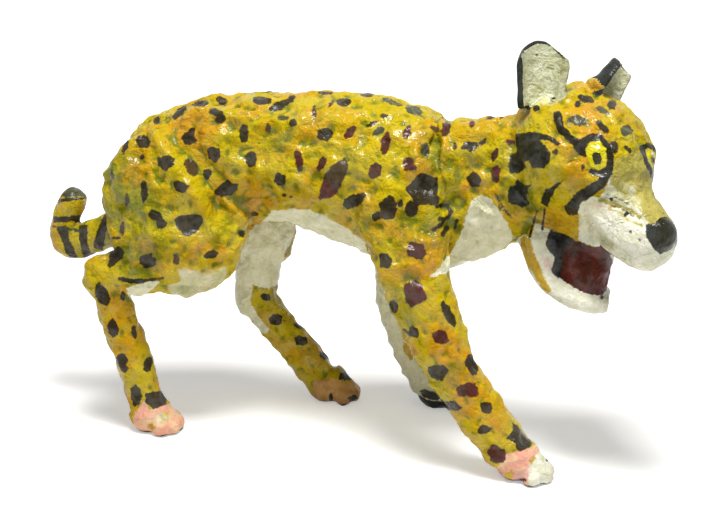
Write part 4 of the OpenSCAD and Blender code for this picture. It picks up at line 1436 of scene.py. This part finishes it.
@dataclass
class Head(Figure):
    """Skull, muzzle, jaws, eyes and ears."""

    nodes: tuple[str, ...] = (
        "head_skin", "muzzle", "nose", "lower_jaw", "mouth_lining", "right_eye", "left_eye", "right_ear",
        "left_ear",
    )
    lumps: dict[str, Lumps] = field(
        default_factory=lambda: {
            "head_skin": HEAD_LUMPS, "muzzle": FACE_LUMPS, "nose": FINE_LUMPS, "lower_jaw": FACE_LUMPS,
            "mouth_lining": FACE_LUMPS, "right_eye": FINE_LUMPS, "left_eye": FINE_LUMPS,
            "right_ear": EAR_LUMPS, "left_ear": EAR_LUMPS,
        }
    )
    trims: tuple[Trim, ...] = (
        Trim("right_ear", (546, 41), (574, 64)), Trim("lower_jaw", (613, 284), (606, 316)),
    )
    trim_share: float = 0.3  # share of a solid from which its trim takes hold
    ears: tuple[EarPaint, ...] = (EarPaint("right_ear", (557, 60)), EarPaint("left_ear", (617, 78), TUFT))
    ear_back: float = 1.2  # millimetres towards the ear's middle at which the black back begins
    ear_ragged: float = 0.5
    # The glints are painted highlights: white dots where the lamp's reflection falls on the eyes.
    pupils: tuple[Spot, ...] = (
        Spot(597.5, 157.5, 10, 13, 0, Pigment.PUPIL), Spot(598, 147, 4, 3, 0, Pigment.GLINT),
        Spot(653, 160, 4, 6, 0, Pigment.PUPIL), Spot(652, 154, 3, 3, 0, Pigment.GLINT),
    )
    # The head's own frame: its place in millimetres and its turns in degrees.
    place: tuple[float, float, float] = (91.0, -10.0, 121.0)
    lean: float = 5.0
    drop: float = 15.0
    turn: float = 36.0
    reliefs: tuple[Relief, ...] = (
        # The brow, the lines and pits of the muzzle, the cheek, the ear's root and the mouth's hollow.
        Relief(((557, 115), (560, 127), (570, 137), (584, 145)), 1.6, 1.2),
        Relief(((600, 200), (622, 208), (645, 222)), 1.6, -1.0),
        Relief(((612, 190), (635, 196)), 1.4, -0.6),
        Relief(((527, 152), (548, 152)), 4.0, 1.4),
        Relief(((515, 196), (530, 200)), 3.0, 0.9),
        Relief(((548, 174), (560, 168)), 3.0, 1.0),
        Relief(((577, 86), (588, 82), (597, 84)), 2.4, 2.0),
        Relief(((597, 93),), 1.0, -1.2),
        Relief(((596, 156),), 4.5, -1.4),
        Relief(((606, 198),), 0.9, -1.0),
        Relief(((626, 213),), 0.9, -1.0),
        Relief(((575, 240), (595, 262), (600, 285)), 5.0, -2.0),
    )
    chart: PaintChart = HEAD_MARKS
    wads: tuple[Wad, ...] = (
        Wad((-0.9, -10.0, -22.7), (3.1, -10.3, -31.8), 6.0),
        Wad((3.1, -10.3, -31.8), (8.2, -9.4, -40.2), 6.6),
    )

    def shape(self, hide: Hide) -> None:
        """Add the head's ridges and dents, and trim the ear's card and the jaw's tip.

        Args:
            hide: the surface to press.
        """
        super().shape(hide)
        right, up, _ = CAMERA.axes
        for trim in self.trims:
            where = np.flatnonzero(hide.share(trim.node) > self.trim_share)
            along = np.subtract(trim.end, trim.start) / math.dist(trim.end, trim.start)
            off = np.array([along[1], -along[0]])
            past = np.maximum((hide.direct.pixels[where] - np.array(trim.start)) @ off, 0)
            shift = (past * hide.direct.scale[where])[:, None]
            hide.points[where] -= shift * (right * off[0] - up * off[1])

    def hinge_wads(self) -> tuple[Wad, ...]:
        """Place the wads that close the hinge of the jaws, on both cheeks.

        Returns:
            The wads in the figure's frame.
        """
        placed: list[Wad] = []
        for side in (1, -1):
            for wad in self.wads:
                ends = [self.matrix @ Vector((x, side * y, z)) for x, y, z in (wad.start, wad.end)]
                placed.append(Wad(tuple(ends[0]), tuple(ends[1]), wad.radius))
        return tuple(placed)

    @property
    def matrix(self) -> Matrix:
        """The head's own frame in the figure, in millimetres."""
        turns = (("Z", -self.turn), ("Y", self.drop), ("X", -self.lean))
        frame_of_head = Matrix.Translation(Vector(self.place))
        for axis, angle in turns:
            frame_of_head = frame_of_head @ Matrix.Rotation(math.radians(angle), 4, axis)
        return frame_of_head

    def mirrored(self, hide: Hide) -> View:
        """See the head's hidden cheek as if the head's two sides were exchanged.

        Args:
            hide: the surface to paint.

        Returns:
            The view of the hidden cheek.
        """
        flip = self.matrix @ Matrix.Diagonal((1, -1, 1, 1)) @ self.matrix.inverted()
        turn = np.array(flip.to_3x3())
        places = hide.points @ turn.T + np.array(flip.translation)
        return self.turned_view(hide, places, hide.normals @ turn.T)

    def paint(self, hide: Hide) -> None:
        """Paint the face, the eyes, the nose and the ears.

        Args:
            hide: the surface to paint.
        """
        super().paint(hide)
        hidden = ~hide.direct.usable
        for pigment, chosen in (
            (Pigment.BLACK, hide.owned("nose")),
            (Pigment.CREAM, hide.owned("muzzle", "lower_jaw")),
            (Pigment.MOUTH, hidden & hide.owned("mouth_lining")),
        ):
            where = np.flatnonzero(chosen)
            hide.lay(pigment, np.full(len(where), -FAR), where)
        self.look_out(hide)
        self.line_ears(hide)

    def look_out(self, hide: Hide) -> None:
        """Paint the pupils and their glints.

        Args:
            hide: the surface to paint.
        """
        for spot in self.pupils:
            self.chart.dab(hide, hide.direct, spot)

    def line_ears(self, hide: Hide) -> None:
        """Paint the ears white inside the cup and black behind.

        Args:
            hide: the surface to paint.
        """
        for ear in self.ears:
            low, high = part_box(ear.node)
            where = np.flatnonzero(hide.owned(ear.node))
            places, pixels = hide.points[where], hide.direct.pixels[where]
            inward = np.einsum("ij,ij->i", places.mean(axis=0) - places, hide.normals[where])
            hide.lay(Pigment.CREAM, np.full(len(where), -FAR), where)
            pale = (pixels > np.array(ear.pale_from)).all(axis=1)
            if ear.tuft:
                pale |= inside_path(pixels, ear.tuft)
            black = ~(pale & hide.direct.usable[where])
            edge = inward - self.ear_back + self.ear_ragged * hide.wobble[where]
            hide.lay(Pigment.BLACK, edge[black], where[black])
            log.info("%s: %.1f mm tall", ear.node, (high.z - low.z) / MM)


@dataclass(frozen=True)
class AcrylicCoat:
    """Acrylic paint brushed over pasted paper, under a thin varnish.

    It gives the eye a half-gloss skin with small broken lights, spots whose edges the brush has left
    uneven, and ochre that turns orange and olive in patches, with olive painted shade in its creases.
    """

    name: str
    slot: str
    roughness: tuple[float, float] = (0.30, 0.52)
    varnish: float = 0.66  # most of the varnish, where it has run together
    varnish_roughness: float = 0.17
    brush_relief: float = 0.9  # depth of the paint's relief in millimetres
    varnish_relief: float = 1.2  # the same for the varnish, which follows the folds alone
    fold_weight: float = 2.2  # height of the folds beside that of the pulp
    pale: tuple[str, str] = ("#F7F5E2", "#E2E2C4")  # the white paint, thin and thick
    pale_edge: float = 0.3
    ground: tuple[str, str, str] = ("#C6AE10", "#CC9612", "#5C7018")  # ochre, orange and olive
    fleck: str = "#4C5014"
    fray: float = 4.0  # unevenness of a mark's edge for each millimetre of its fade
    wash_fray: float = 2.0  # the same for a wash, whose edge fades over a millimetre or more
    hiding: float = 0.97  # how far a mark hides what is under it
    wash_hiding: float = 0.65
    # Each paint's colour where it is thin and where it is thick, and the fade of its edge in millimetres.
    colours: tuple[tuple[Pigment, str, str, float], ...] = (
        (Pigment.KHAKI, "#BDAE4E", "#A0963C", 0.5),
        (Pigment.PINK, "#F2AA92", "#F0C8A0", 0.3),
        (Pigment.OCHRE, "#D0AC1A", "#BD9018", 0.4),
        # An olive-grey wash of painted shade.
        (Pigment.SHADE_WASH, "#ABA970", "#96944F", 1.8),
        # A soft white wash: white paint on the haunch and the paw, and a painted highlight on the face.
        (Pigment.CHALK_AND_HIGHLIGHT, "#E6E6CC", "#CFD2A4", 1.6),
        (Pigment.BLUSH, "#DDB3AA", "#D6A29A", 1.0),
        (Pigment.TAN, "#E0AC68", "#BD8A4C", 0.3),
        (Pigment.MOUTH, "#5A171E", "#300C11", 0.3),
        (Pigment.BROWN, "#4E3A22", "#3C2E20", 0.3),
        (Pigment.CHARCOAL, "#231F19", "#373026", 0.25),
        (Pigment.GREY, "#51553B", "#3C402F", 0.3),
        (Pigment.WINE, "#452A22", "#571D27", 0.3),
        (Pigment.BLACK, "#121413", "#1F2322", 0.25),
        (Pigment.YELLOW, "#E2D60C", "#C8B808", 0.2),
        (Pigment.PUPIL, "#20201C", "#2C2C26", 0.2),
        (Pigment.GLINT, "#F6F6F2", "#F6F6F2", 0.2),
    )

    def material(self) -> bpy.types.Material:
        """Make the paint's material, or give the one already made.

        Returns:
            The material.
        """
        made = bpy.data.materials.get(self.name)
        if made is not None:
            return made
        made, tree, place = new_material(self.name)
        colour = self.brushed_ground(tree, place)
        colour = self.painted_marks(tree, place, colour)
        self.varnished(tree, place, colour)
        return made

    def brushed_ground(self, tree: bpy.types.NodeTree, place: bpy.types.NodeSocket) -> bpy.types.NodeSocket:
        """Mix the ochre ground with its orange and olive patches, and darken it towards olive as painted
        shade in the creases.

        Args:
            tree: the material's nodes.
            place: object coordinates.

        Returns:
            The ground's colour.
        """
        ochre, orange, olive = (linear(c) for c in self.ground)
        patches = add_node(
            tree, "TexNoise", {"Scale": per_mm(19), "Detail": 5.0, "Roughness": 0.62}, {"Vector": place}
        )
        warm = self.leaning(tree, patches.outputs["Fac"], Pigment.ORANGE, 0.16)
        warmth = add_node(tree, "MapRange", {"From Min": 0.48, "From Max": 0.66}, {"Value": warm})
        colour = add_node(
            tree, "Mix", {"data_type": "RGBA", 6: ochre, 7: orange}, {0: warmth.outputs["Result"]}
        ).outputs[2]
        leaves = add_node(
            tree, "TexNoise", {"Scale": per_mm(15), "Detail": 8.0, "Roughness": 0.74, "Distortion": 0.4},
            {"Vector": place},
        )
        leaf = self.leaning(tree, leaves.outputs["Fac"], Pigment.OLIVE, 0.12)
        green = add_node(
            tree, "MapRange", {"From Min": 0.53, "From Max": 0.7, "To Max": 0.8}, {"Value": leaf}
        )
        # Painted shade: where the surface is hollow, the ground turns darker olive as if shaded.
        hollows = add_node(tree, "Attribute", {"attribute_name": "cavity"})
        crease_shade = add_node(
            tree, "MapRange", {"From Min": 0.03, "From Max": 0.18, "To Max": 0.8},
            {"Value": hollows.outputs["Fac"]},
        )
        most = add_node(
            tree, "Math", {"operation": "MAXIMUM"}, {0: green.outputs["Result"], 1: crease_shade.outputs["Result"]}
        )
        colour = add_node(
            tree, "Mix", {"data_type": "RGBA", 7: olive}, {0: most.outputs[0], 6: colour}
        ).outputs[2]
        specks = add_node(
            tree, "TexNoise", {"Scale": per_mm(2.6), "Detail": 4.0, "Roughness": 0.7}, {"Vector": place}
        )
        flecks = add_node(
            tree, "MapRange", {"From Min": 0.62, "From Max": 0.74, "To Max": 0.75},
            {"Value": specks.outputs["Fac"]},
        )
        return add_node(
            tree, "Mix", {"data_type": "RGBA", 7: linear(self.fleck)},
            {0: flecks.outputs["Result"], 6: colour},
        ).outputs[2]

    def leaning(
        self, tree: bpy.types.NodeTree, pattern: bpy.types.NodeSocket, pigment: Pigment, amount: float
    ) -> bpy.types.NodeSocket:
        """Raise a noise where one of the hide's tints is laid.

        Args:
            tree: the material's nodes.
            pattern: the noise.
            pigment: the tint.
            amount: how far the tint raises the noise.

        Returns:
            The raised noise.
        """
        laid = add_node(tree, "Attribute", {"attribute_name": pigment.value})
        tint = add_node(
            tree, "MapRange",
            {"interpolation_type": "SMOOTHSTEP", "From Min": 4.0, "From Max": -4.0, "To Max": amount},
            {"Value": laid.outputs["Fac"]},
        )
        return add_node(
            tree, "Math", {"operation": "ADD"}, {0: pattern, 1: tint.outputs["Result"]}
        ).outputs[0]

    def painted_marks(
        self, tree: bpy.types.NodeTree, place: bpy.types.NodeSocket, colour: bpy.types.NodeSocket
    ) -> bpy.types.NodeSocket:
        """Lay the paint layers over the ground, with edges that a bristle brush leaves.

        Args:
            tree: the material's nodes.
            place: object coordinates.
            colour: the ground's colour.

        Returns:
            The painted colour.
        """
        # A brush's bristles are finer; their marks are drawn 1.6 mm wide so that they show.
        bristle = add_node(
            tree, "TexNoise", {"Scale": per_mm(1.6), "Detail": 3.0, "Roughness": 0.6}, {"Vector": place}
        )
        edge = add_node(
            tree, "MapRange", {"From Min": 0.2, "From Max": 0.8, "To Min": -0.45, "To Max": 0.45},
            {"Value": bristle.outputs["Fac"]},
        )
        mottle = add_node(
            tree, "TexNoise", {"Scale": per_mm(6), "Detail": 4.0, "Roughness": 0.65}, {"Vector": place}
        )
        thick = add_node(
            tree, "MapRange", {"From Min": 0.4, "From Max": 0.62}, {"Value": mottle.outputs["Fac"]}
        )
        for pigment, main, second, soft in ((Pigment.CREAM, *self.pale, self.pale_edge), *self.colours):
            wash = soft >= 1
            fray = self.wash_fray * soft if wash else max(1.0, self.fray * soft)
            laid = add_node(tree, "Attribute", {"attribute_name": pigment.value})
            ragged = add_node(
                tree, "Math", {"operation": "MULTIPLY_ADD", 1: fray},
                {0: edge.outputs["Result"], 2: laid.outputs["Fac"]},
            )
            mask = add_node(
                tree, "MapRange",
                {
                    "interpolation_type": "SMOOTHSTEP", "From Min": soft, "From Max": -soft,
                    "To Max": self.wash_hiding if wash else self.hiding,
                },
                {"Value": ragged.outputs[0]},
            )
            paint = add_node(
                tree, "Mix", {"data_type": "RGBA", 6: linear(main), 7: linear(second)},
                {0: thick.outputs["Result"]},
            )
            colour = add_node(
                tree, "Mix", {"data_type": "RGBA"},
                {0: mask.outputs["Result"], 6: colour, 7: paint.outputs[2]},
            ).outputs[2]
        return colour

    def varnished(
        self, tree: bpy.types.NodeTree, place: bpy.types.NodeSocket, colour: bpy.types.NodeSocket
    ) -> None:
        """Give the paint its gloss, its brush relief and its varnish.

        Args:
            tree: the material's nodes.
            place: object coordinates.
            colour: the painted colour.
        """
        dull = add_node(
            tree, "TexNoise", {"Scale": per_mm(7), "Detail": 4.0, "Roughness": 0.6}, {"Vector": place}
        )
        rough = add_node(
            tree, "MapRange",
            {"From Min": 0.35, "From Max": 0.65, "To Min": self.roughness[0], "To Max": self.roughness[1]},
            {"Value": dull.outputs["Fac"]},
        )
        # Pulp fibres are finer; they are drawn 1.5 mm wide so that they show.
        pulp = add_node(
            tree, "TexNoise", {"Scale": per_mm(1.5), "Detail": 4.0, "Roughness": 0.62}, {"Vector": place}
        )
        folds = add_node(
            tree, "TexNoise", {"Scale": per_mm(4.2), "Detail": 3.0, "Roughness": 0.55, "Distortion": 0.8},
            {"Vector": place},
        )
        height = add_node(
            tree, "Math", {"operation": "MULTIPLY_ADD", 1: self.fold_weight},
            {0: folds.outputs["Fac"], 2: pulp.outputs["Fac"]},
        )
        bump = add_node(
            tree, "Bump", {"Strength": 0.9, "Distance": self.brush_relief * MM},
            {"Height": height.outputs[0]},
        )
        flow = add_node(
            tree, "Bump", {"Strength": 0.8, "Distance": self.varnish_relief * MM},
            {"Height": folds.outputs["Fac"]},
        )
        puddles = add_node(
            tree, "MapRange",
            {"interpolation_type": "SMOOTHSTEP", "From Min": 0.4, "From Max": 0.6, "To Max": self.varnish},
            {"Value": dull.outputs["Fac"]},
        )
        shader = add_node(
            tree, "BsdfPrincipled",
            {"IOR": 1.47, "Specular IOR Level": 0.05, "Coat Roughness": self.varnish_roughness},
            {
                "Base Color": colour, "Roughness": rough.outputs["Result"],
                "Normal": bump.outputs["Normal"], "Coat Normal": flow.outputs["Normal"],
                "Coat Weight": puddles.outputs["Result"],
            },
        )
        add_node(tree, "OutputMaterial", None, {"Surface": shader.outputs["BSDF"]})


# Ochre acrylic on the pasted skins: half gloss, with runs of varnish that catch the lamps.
HIDE_PAINT = AcrylicCoat("acrylic_on_paper_ochre", "painted_paper", pale=("#F6F3D4", "#E4E2B8"))
# White acrylic on the muzzle and the lower jaw: chalky, with less varnish.
FACE_PAINT = AcrylicCoat("acrylic_on_paper_white_face", "white_coat", (0.34, 0.55), 0.5)
# Pink, tan and black acrylic on the pulp paws: dull, as if worn by handling.
PAW_PAINT = AcrylicCoat("acrylic_on_pulp_paws", "paw_paint", (0.36, 0.58), 0.4)
# Black acrylic on the nose: half gloss, so that its lumps show as small lights.
NOSE_PAINT = AcrylicCoat("acrylic_on_pulp_black_nose", "black_paint", (0.35, 0.55), 0.6)
# Dark red acrylic inside the jaws: it looks wet where the varnish has run together.
MOUTH_PAINT = AcrylicCoat("acrylic_on_paper_red_mouth", "mouth_paint", (0.3, 0.5), 0.6)
# Gloss acrylic on the eyes: the smoothest paint, with small sharp lights.
EYE_PAINT = AcrylicCoat("gloss_acrylic_on_pulp_eyes", "eye_paint", (0.2, 0.34), 0.6, 0.08)
# Thin acrylic on the ears' card: matt, and greyer than the white of the face, partly as painted shade
# inside the cup.
EAR_PAINT = AcrylicCoat(
    "acrylic_on_card_ears", "ear_card", (0.38, 0.6), 0.4, pale=("#D8D9BE", "#BFC29C")
)

FINISHES: dict[str, AcrylicCoat] = {
    **dict.fromkeys(OUTER, HIDE_PAINT), **dict.fromkeys(PAW_NODES, PAW_PAINT),
    "muzzle": FACE_PAINT, "lower_jaw": FACE_PAINT, "nose": NOSE_PAINT, "mouth_lining": MOUTH_PAINT,
    "right_eye": EYE_PAINT, "left_eye": EYE_PAINT, "right_ear": EAR_PAINT, "left_ear": EAR_PAINT,
}


@dataclass(frozen=True)
class GalvanisedWire:
    """Drawn steel wire with a zinc skin: dull grey metal with pale crystals about 1.5 mm wide."""

    name: str = "galvanised_steel_wire"

    def material(self) -> bpy.types.Material:
        """Make the wire's material.

        Returns:
            The material.
        """
        made, tree, place = new_material(self.name)
        zinc = add_node(tree, "TexVoronoi", {"Scale": per_mm(1.5)}, {"Vector": place})
        tone = add_node(
            tree, "Mix", {"data_type": "RGBA", 6: linear("#7C8084"), 7: linear("#A9AEB2")},
            {0: zinc.outputs["Distance"]},
        )
        rough = add_node(
            tree, "MapRange", {"To Min": 0.35, "To Max": 0.55}, {"Value": zinc.outputs["Distance"]}
        )
        shader = add_node(
            tree, "BsdfPrincipled", {"Metallic": 1.0},
            {"Base Color": tone.outputs[2], "Roughness": rough.outputs["Result"]},
        )
        add_node(tree, "OutputMaterial", None, {"Surface": shader.outputs["BSDF"]})
        return made


@dataclass(frozen=True)
class CreasedPaper:
    """Plain paper, creased by hand: matt, with folds whose width and depth are in millimetres."""

    name: str
    pale: str
    dark: str
    fold: float
    depth: float

    def material(self) -> bpy.types.Material:
        """Make the paper's material.

        Returns:
            The material.
        """
        made, tree, place = new_material(self.name)
        folds = add_node(
            tree, "TexVoronoi", {"feature": "DISTANCE_TO_EDGE", "Scale": per_mm(self.fold)},
            {"Vector": place},
        )
        # Paper fibres are finer; they are drawn 0.9 mm wide so that they show.
        fibre = add_node(tree, "TexNoise", {"Scale": per_mm(0.9), "Detail": 4.0}, {"Vector": place})
        tone = add_node(
            tree, "Mix", {"data_type": "RGBA", 6: linear(self.dark), 7: linear(self.pale)},
            {0: fibre.outputs["Fac"]},
        )
        bump = add_node(
            tree, "Bump", {"Strength": 0.8, "Distance": self.depth * MM},
            {"Height": folds.outputs["Distance"]},
        )
        rough = add_node(
            tree, "MapRange", {"To Min": 0.75, "To Max": 0.92}, {"Value": fibre.outputs["Fac"]}
        )
        shader = add_node(
            tree, "BsdfPrincipled", {"IOR": 1.45},
            {
                "Base Color": tone.outputs[2], "Roughness": rough.outputs["Result"],
                "Normal": bump.outputs["Normal"],
            },
        )
        add_node(tree, "OutputMaterial", None, {"Surface": shader.outputs["BSDF"]})
        return made


ZINC = GalvanisedWire()
# Crepe masking tape: pale tan and matt, with fine crinkles across it.
CREPE = CreasedPaper("crepe_masking_tape", "#D8C08C", "#BFA468", 1.1, 0.12)
# Crumpled newsprint: grey-white and matt, with broad sharp folds.
NEWSPRINT = CreasedPaper("crumpled_newsprint", "#D6CFBE", "#B5AD9A", 7.0, 1.2)


@dataclass
class Armature:
    """The wire, tape and paper bundles inside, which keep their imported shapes."""

    wires: tuple[str, ...] = ("spine_wire", "fore_leg_wire", "hind_leg_wire")
    tapes: tuple[str, ...] = TAPES
    bundles: tuple[str, ...] = BUNDLES

    def dress(self) -> None:
        """Give the hidden solids their materials."""
        rows = ((self.wires, ZINC), (self.tapes, CREPE), (self.bundles, NEWSPRINT))
        for names, kind in rows:
            finish = kind.material()
            for name in names:
                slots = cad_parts[name].data.materials
                slots.clear()
                slots.append(finish)
                log.info("%s: %s", name, finish.name)


@dataclass(frozen=True)
class Softbox:
    """A square lamp behind white cloth: its place and side in metres, and its power in watts."""

    name: str
    place: tuple[float, float, float]
    size: float
    power: float


@dataclass
class Studio:
    """A white table, a white surround and soft lamps, with sizes in metres."""

    floor_size: float = 6.0
    floor_colour: str = "#FAFAF8"
    floor_glow: float = 0.4  # white that the floor shows beside the light on it, near the figure
    glow_reach: tuple[float, float] = (0.15, 0.5)  # where the glow begins to rise and where it is full
    world_light: float = 0.15
    white: str = "#FFFFFF"
    aim: tuple[float, float, float] = (0.0, 0.0, 0.08)  # the place that the lamps face
    lamps: tuple[Softbox, ...] = (
        Softbox("key_softbox", (0.09, -0.2, 0.85), 0.26, 8.2),
        Softbox("front_softbox", (0.95, -1.05, 0.55), 0.8, 1.4),
    )

    def build(self) -> None:
        """Make the floor, the surround and the lamps."""
        bpy.context.scene.view_settings.view_transform = "Standard"
        self.lay_floor()
        self.light_world()
        for lamp in self.lamps:
            self.hang(lamp)

    def lay_floor(self) -> None:
        """Make the pale floor, which keeps the figure's shadow and shows white to the camera."""
        shape = bmesh.new()
        bmesh.ops.create_grid(shape, x_segments=1, y_segments=1, size=self.floor_size / 2)
        data = bpy.data.meshes.new("floor")
        shape.to_mesh(data)
        shape.free()
        floor = add_object("floor", data)
        finish, tree, place = new_material("white_table")
        matt = add_node(tree, "BsdfDiffuse", {"Color": linear(self.floor_colour)})
        reach = add_node(tree, "VectorMath", {"operation": "LENGTH"}, {0: place})
        fade = add_node(
            tree, "MapRange",
            {
                "interpolation_type": "SMOOTHSTEP", "From Min": self.glow_reach[0],
                "From Max": self.glow_reach[1], "To Min": self.floor_glow, "To Max": 1.0,
            },
            {"Value": reach.outputs["Value"]},
        )
        lift = add_node(
            tree, "Math", {"operation": "MULTIPLY"}, {0: fade.outputs["Result"], 1: self.shown(tree)}
        )
        glow = add_node(tree, "Emission", {"Color": linear(self.white)}, {"Strength": lift.outputs[0]})
        both = add_node(tree, "AddShader", None, {0: matt.outputs[0], 1: glow.outputs[0]})
        add_node(tree, "OutputMaterial", None, {"Surface": both.outputs[0]})
        data.materials.append(finish)

    def shown(self, tree: bpy.types.NodeTree) -> bpy.types.NodeSocket:
        """Tell the rays that show the surround from those that light the figure.

        Args:
            tree: the nodes of the floor or of the surround.

        Returns:
            1 for the camera's rays, for gloss and for clear pieces, and 0 for light.
        """
        rays = add_node(tree, "LightPath")
        direct = add_node(
            tree, "Math", {"operation": "MAXIMUM"},
            {0: rays.outputs["Is Camera Ray"], 1: rays.outputs["Is Transmission Ray"]},
        )
        return add_node(
            tree, "Math", {"operation": "MAXIMUM"}, {0: direct.outputs[0], 1: rays.outputs["Is Glossy Ray"]}
        ).outputs[0]

    def light_world(self) -> None:
        """Make the surround: white to the camera and to gloss, softer as a light."""
        world = bpy.data.worlds.new("white_surround")
        bpy.context.scene.world = world
        world.use_nodes = True
        tree = world.node_tree
        tree.nodes.clear()
        strength = add_node(
            tree, "MapRange", {"To Min": self.world_light, "To Max": 1.0}, {"Value": self.shown(tree)}
        )
        sky = add_node(
            tree, "Background", {"Color": linear(self.white)}, {"Strength": strength.outputs["Result"]}
        )
        add_node(tree, "OutputWorld", None, {"Surface": sky.outputs[0]})

    def hang(self, lamp: Softbox) -> None:
        """Hang one softbox so that it faces the figure.

        Args:
            lamp: the softbox.
        """
        data = bpy.data.lights.new(lamp.name, "AREA")
        data.size = lamp.size
        data.energy = lamp.power
        hung = add_object(lamp.name, data)
        hung.location = lamp.place
        hung.rotation_euler = (Vector(self.aim) - Vector(lamp.place)).to_track_quat("-Z", "Y").to_euler()


@dataclass
class LooseSpots:
    """Plain spots for the coat that no mark from the photograph reaches, with sizes in millimetres."""

    seed: int = 11
    nodes: tuple[str, ...] = TRUNK_NODES[:2] + ("head_skin",) + TRUNK_NODES[2:] + LEG_NODES
    darks: tuple[Pigment, ...] = (
        Pigment.CHARCOAL, Pigment.WINE, Pigment.BLACK, Pigment.BROWN, Pigment.GREY,
    )
    coat_share: float = 0.8  # share of those nodes from which a spot may stand
    from_white: float = 3.0
    from_dark: float = 4.5
    apart: float = 10.5
    reach: float = 8.0
    half_length: tuple[float, float] = (2.2, 3.9)
    half_width: tuple[float, float] = (1.7, 2.8)
    wine_share: float = 0.25
    ragged: float = 0.8
    slant: tuple[float, float, float] = (0.3, 0.2, 0.9)  # direction from which a spot's turn is counted

    def scatter(self, hide: Hide) -> None:
        """Dab the spots in a random order, where the coat is bare and out of the camera's sight.

        Args:
            hide: the surface to paint.
        """
        dice = np.random.default_rng(self.seed)
        hidden = ~hide.direct.usable
        bare = hidden & (hide.share(*self.nodes) > self.coat_share)
        bare &= hide.layers[Pigment.CREAM] > self.from_white
        bare &= np.minimum.reduce([hide.layers[p] for p in self.darks]) > self.from_dark
        taken: list[np.ndarray] = []
        for i in dice.permutation(np.flatnonzero(bare)):
            place, normal = hide.points[i], hide.normals[i]
            if any(np.linalg.norm(place - other) < self.apart for other in taken):
                continue
            taken.append(place)
            near = np.linalg.norm(hide.points - place, axis=1) < self.reach
            where = np.flatnonzero(near & (hide.normals @ normal > 0) & hidden)
            away = hide.points[where] - place
            flat = away - (away @ normal)[:, None] * normal
            first = np.cross(normal, self.slant)
            first /= np.linalg.norm(first)
            angle = dice.uniform(0, math.pi)
            along = first * math.cos(angle) + np.cross(normal, first) * math.sin(angle)
            half = np.array([dice.uniform(*self.half_length), dice.uniform(*self.half_width)])
            local = np.stack([flat @ along, flat @ np.cross(normal, along)], axis=1)
            ratio = np.linalg.norm(local / half, axis=1)
            pigment = Pigment.WINE if dice.random() < self.wine_share else Pigment.CHARCOAL
            hide.lay(pigment, (ratio - 1) * half.min() + self.ragged * hide.wobble[where], where)
        log.info("scattered spots: %d", len(taken))


def swell(hide: Hide, parts: Iterable[Figure]) -> None:
    """Add the paper's swells, with heights that run smoothly from part to part.

    Args:
        hide: the surface to press.
        parts: the parts of the figure.
    """
    heights = {name: lumps for part in parts for name, lumps in part.lumps.items()}
    own = hide.spread(hide.shares @ np.array([astuple(heights[n]) for n in OUTER]), LUMP_PASSES)
    broad, strips, pulp, grain = (hide.waves(size, seed) for seed, size in enumerate(LUMP_SIZES, 1))
    # The folded noise has a crease wherever one strip ends on the next.
    creased = 0.5 - np.abs(strips) * 2
    hide.lift += own[:, 0] * broad + own[:, 1] * creased
    hide.lift += own[:, 2] * pulp + own[:, 3] * grain


def write_sizes() -> None:
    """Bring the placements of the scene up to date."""
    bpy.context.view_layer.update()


def main() -> None:
    """Build the studio, the hide and its parts, and dress every piece."""
    logging.basicConfig(level=logging.INFO, format="%(name)s: %(message)s")
    CAMERA.build()
    Studio().build()
    head = Head()
    parts = (Trunk(), Tail(), Legs(), head)
    hide = Hide()
    hide.gather(head.hinge_wads())
    hide.label()
    hide.melt()
    for part in parts:
        part.shape(hide)
    swell(hide, parts)
    hide.press()
    for part in parts:
        part.paint(hide)
    LooseSpots().scatter(hide)
    pieces = hide.part(FINISHES)
    Armature().dress()
    log.info("pieces of paper: %d", len(pieces))
    write_sizes()


if __name__ == "__main__":
    main()
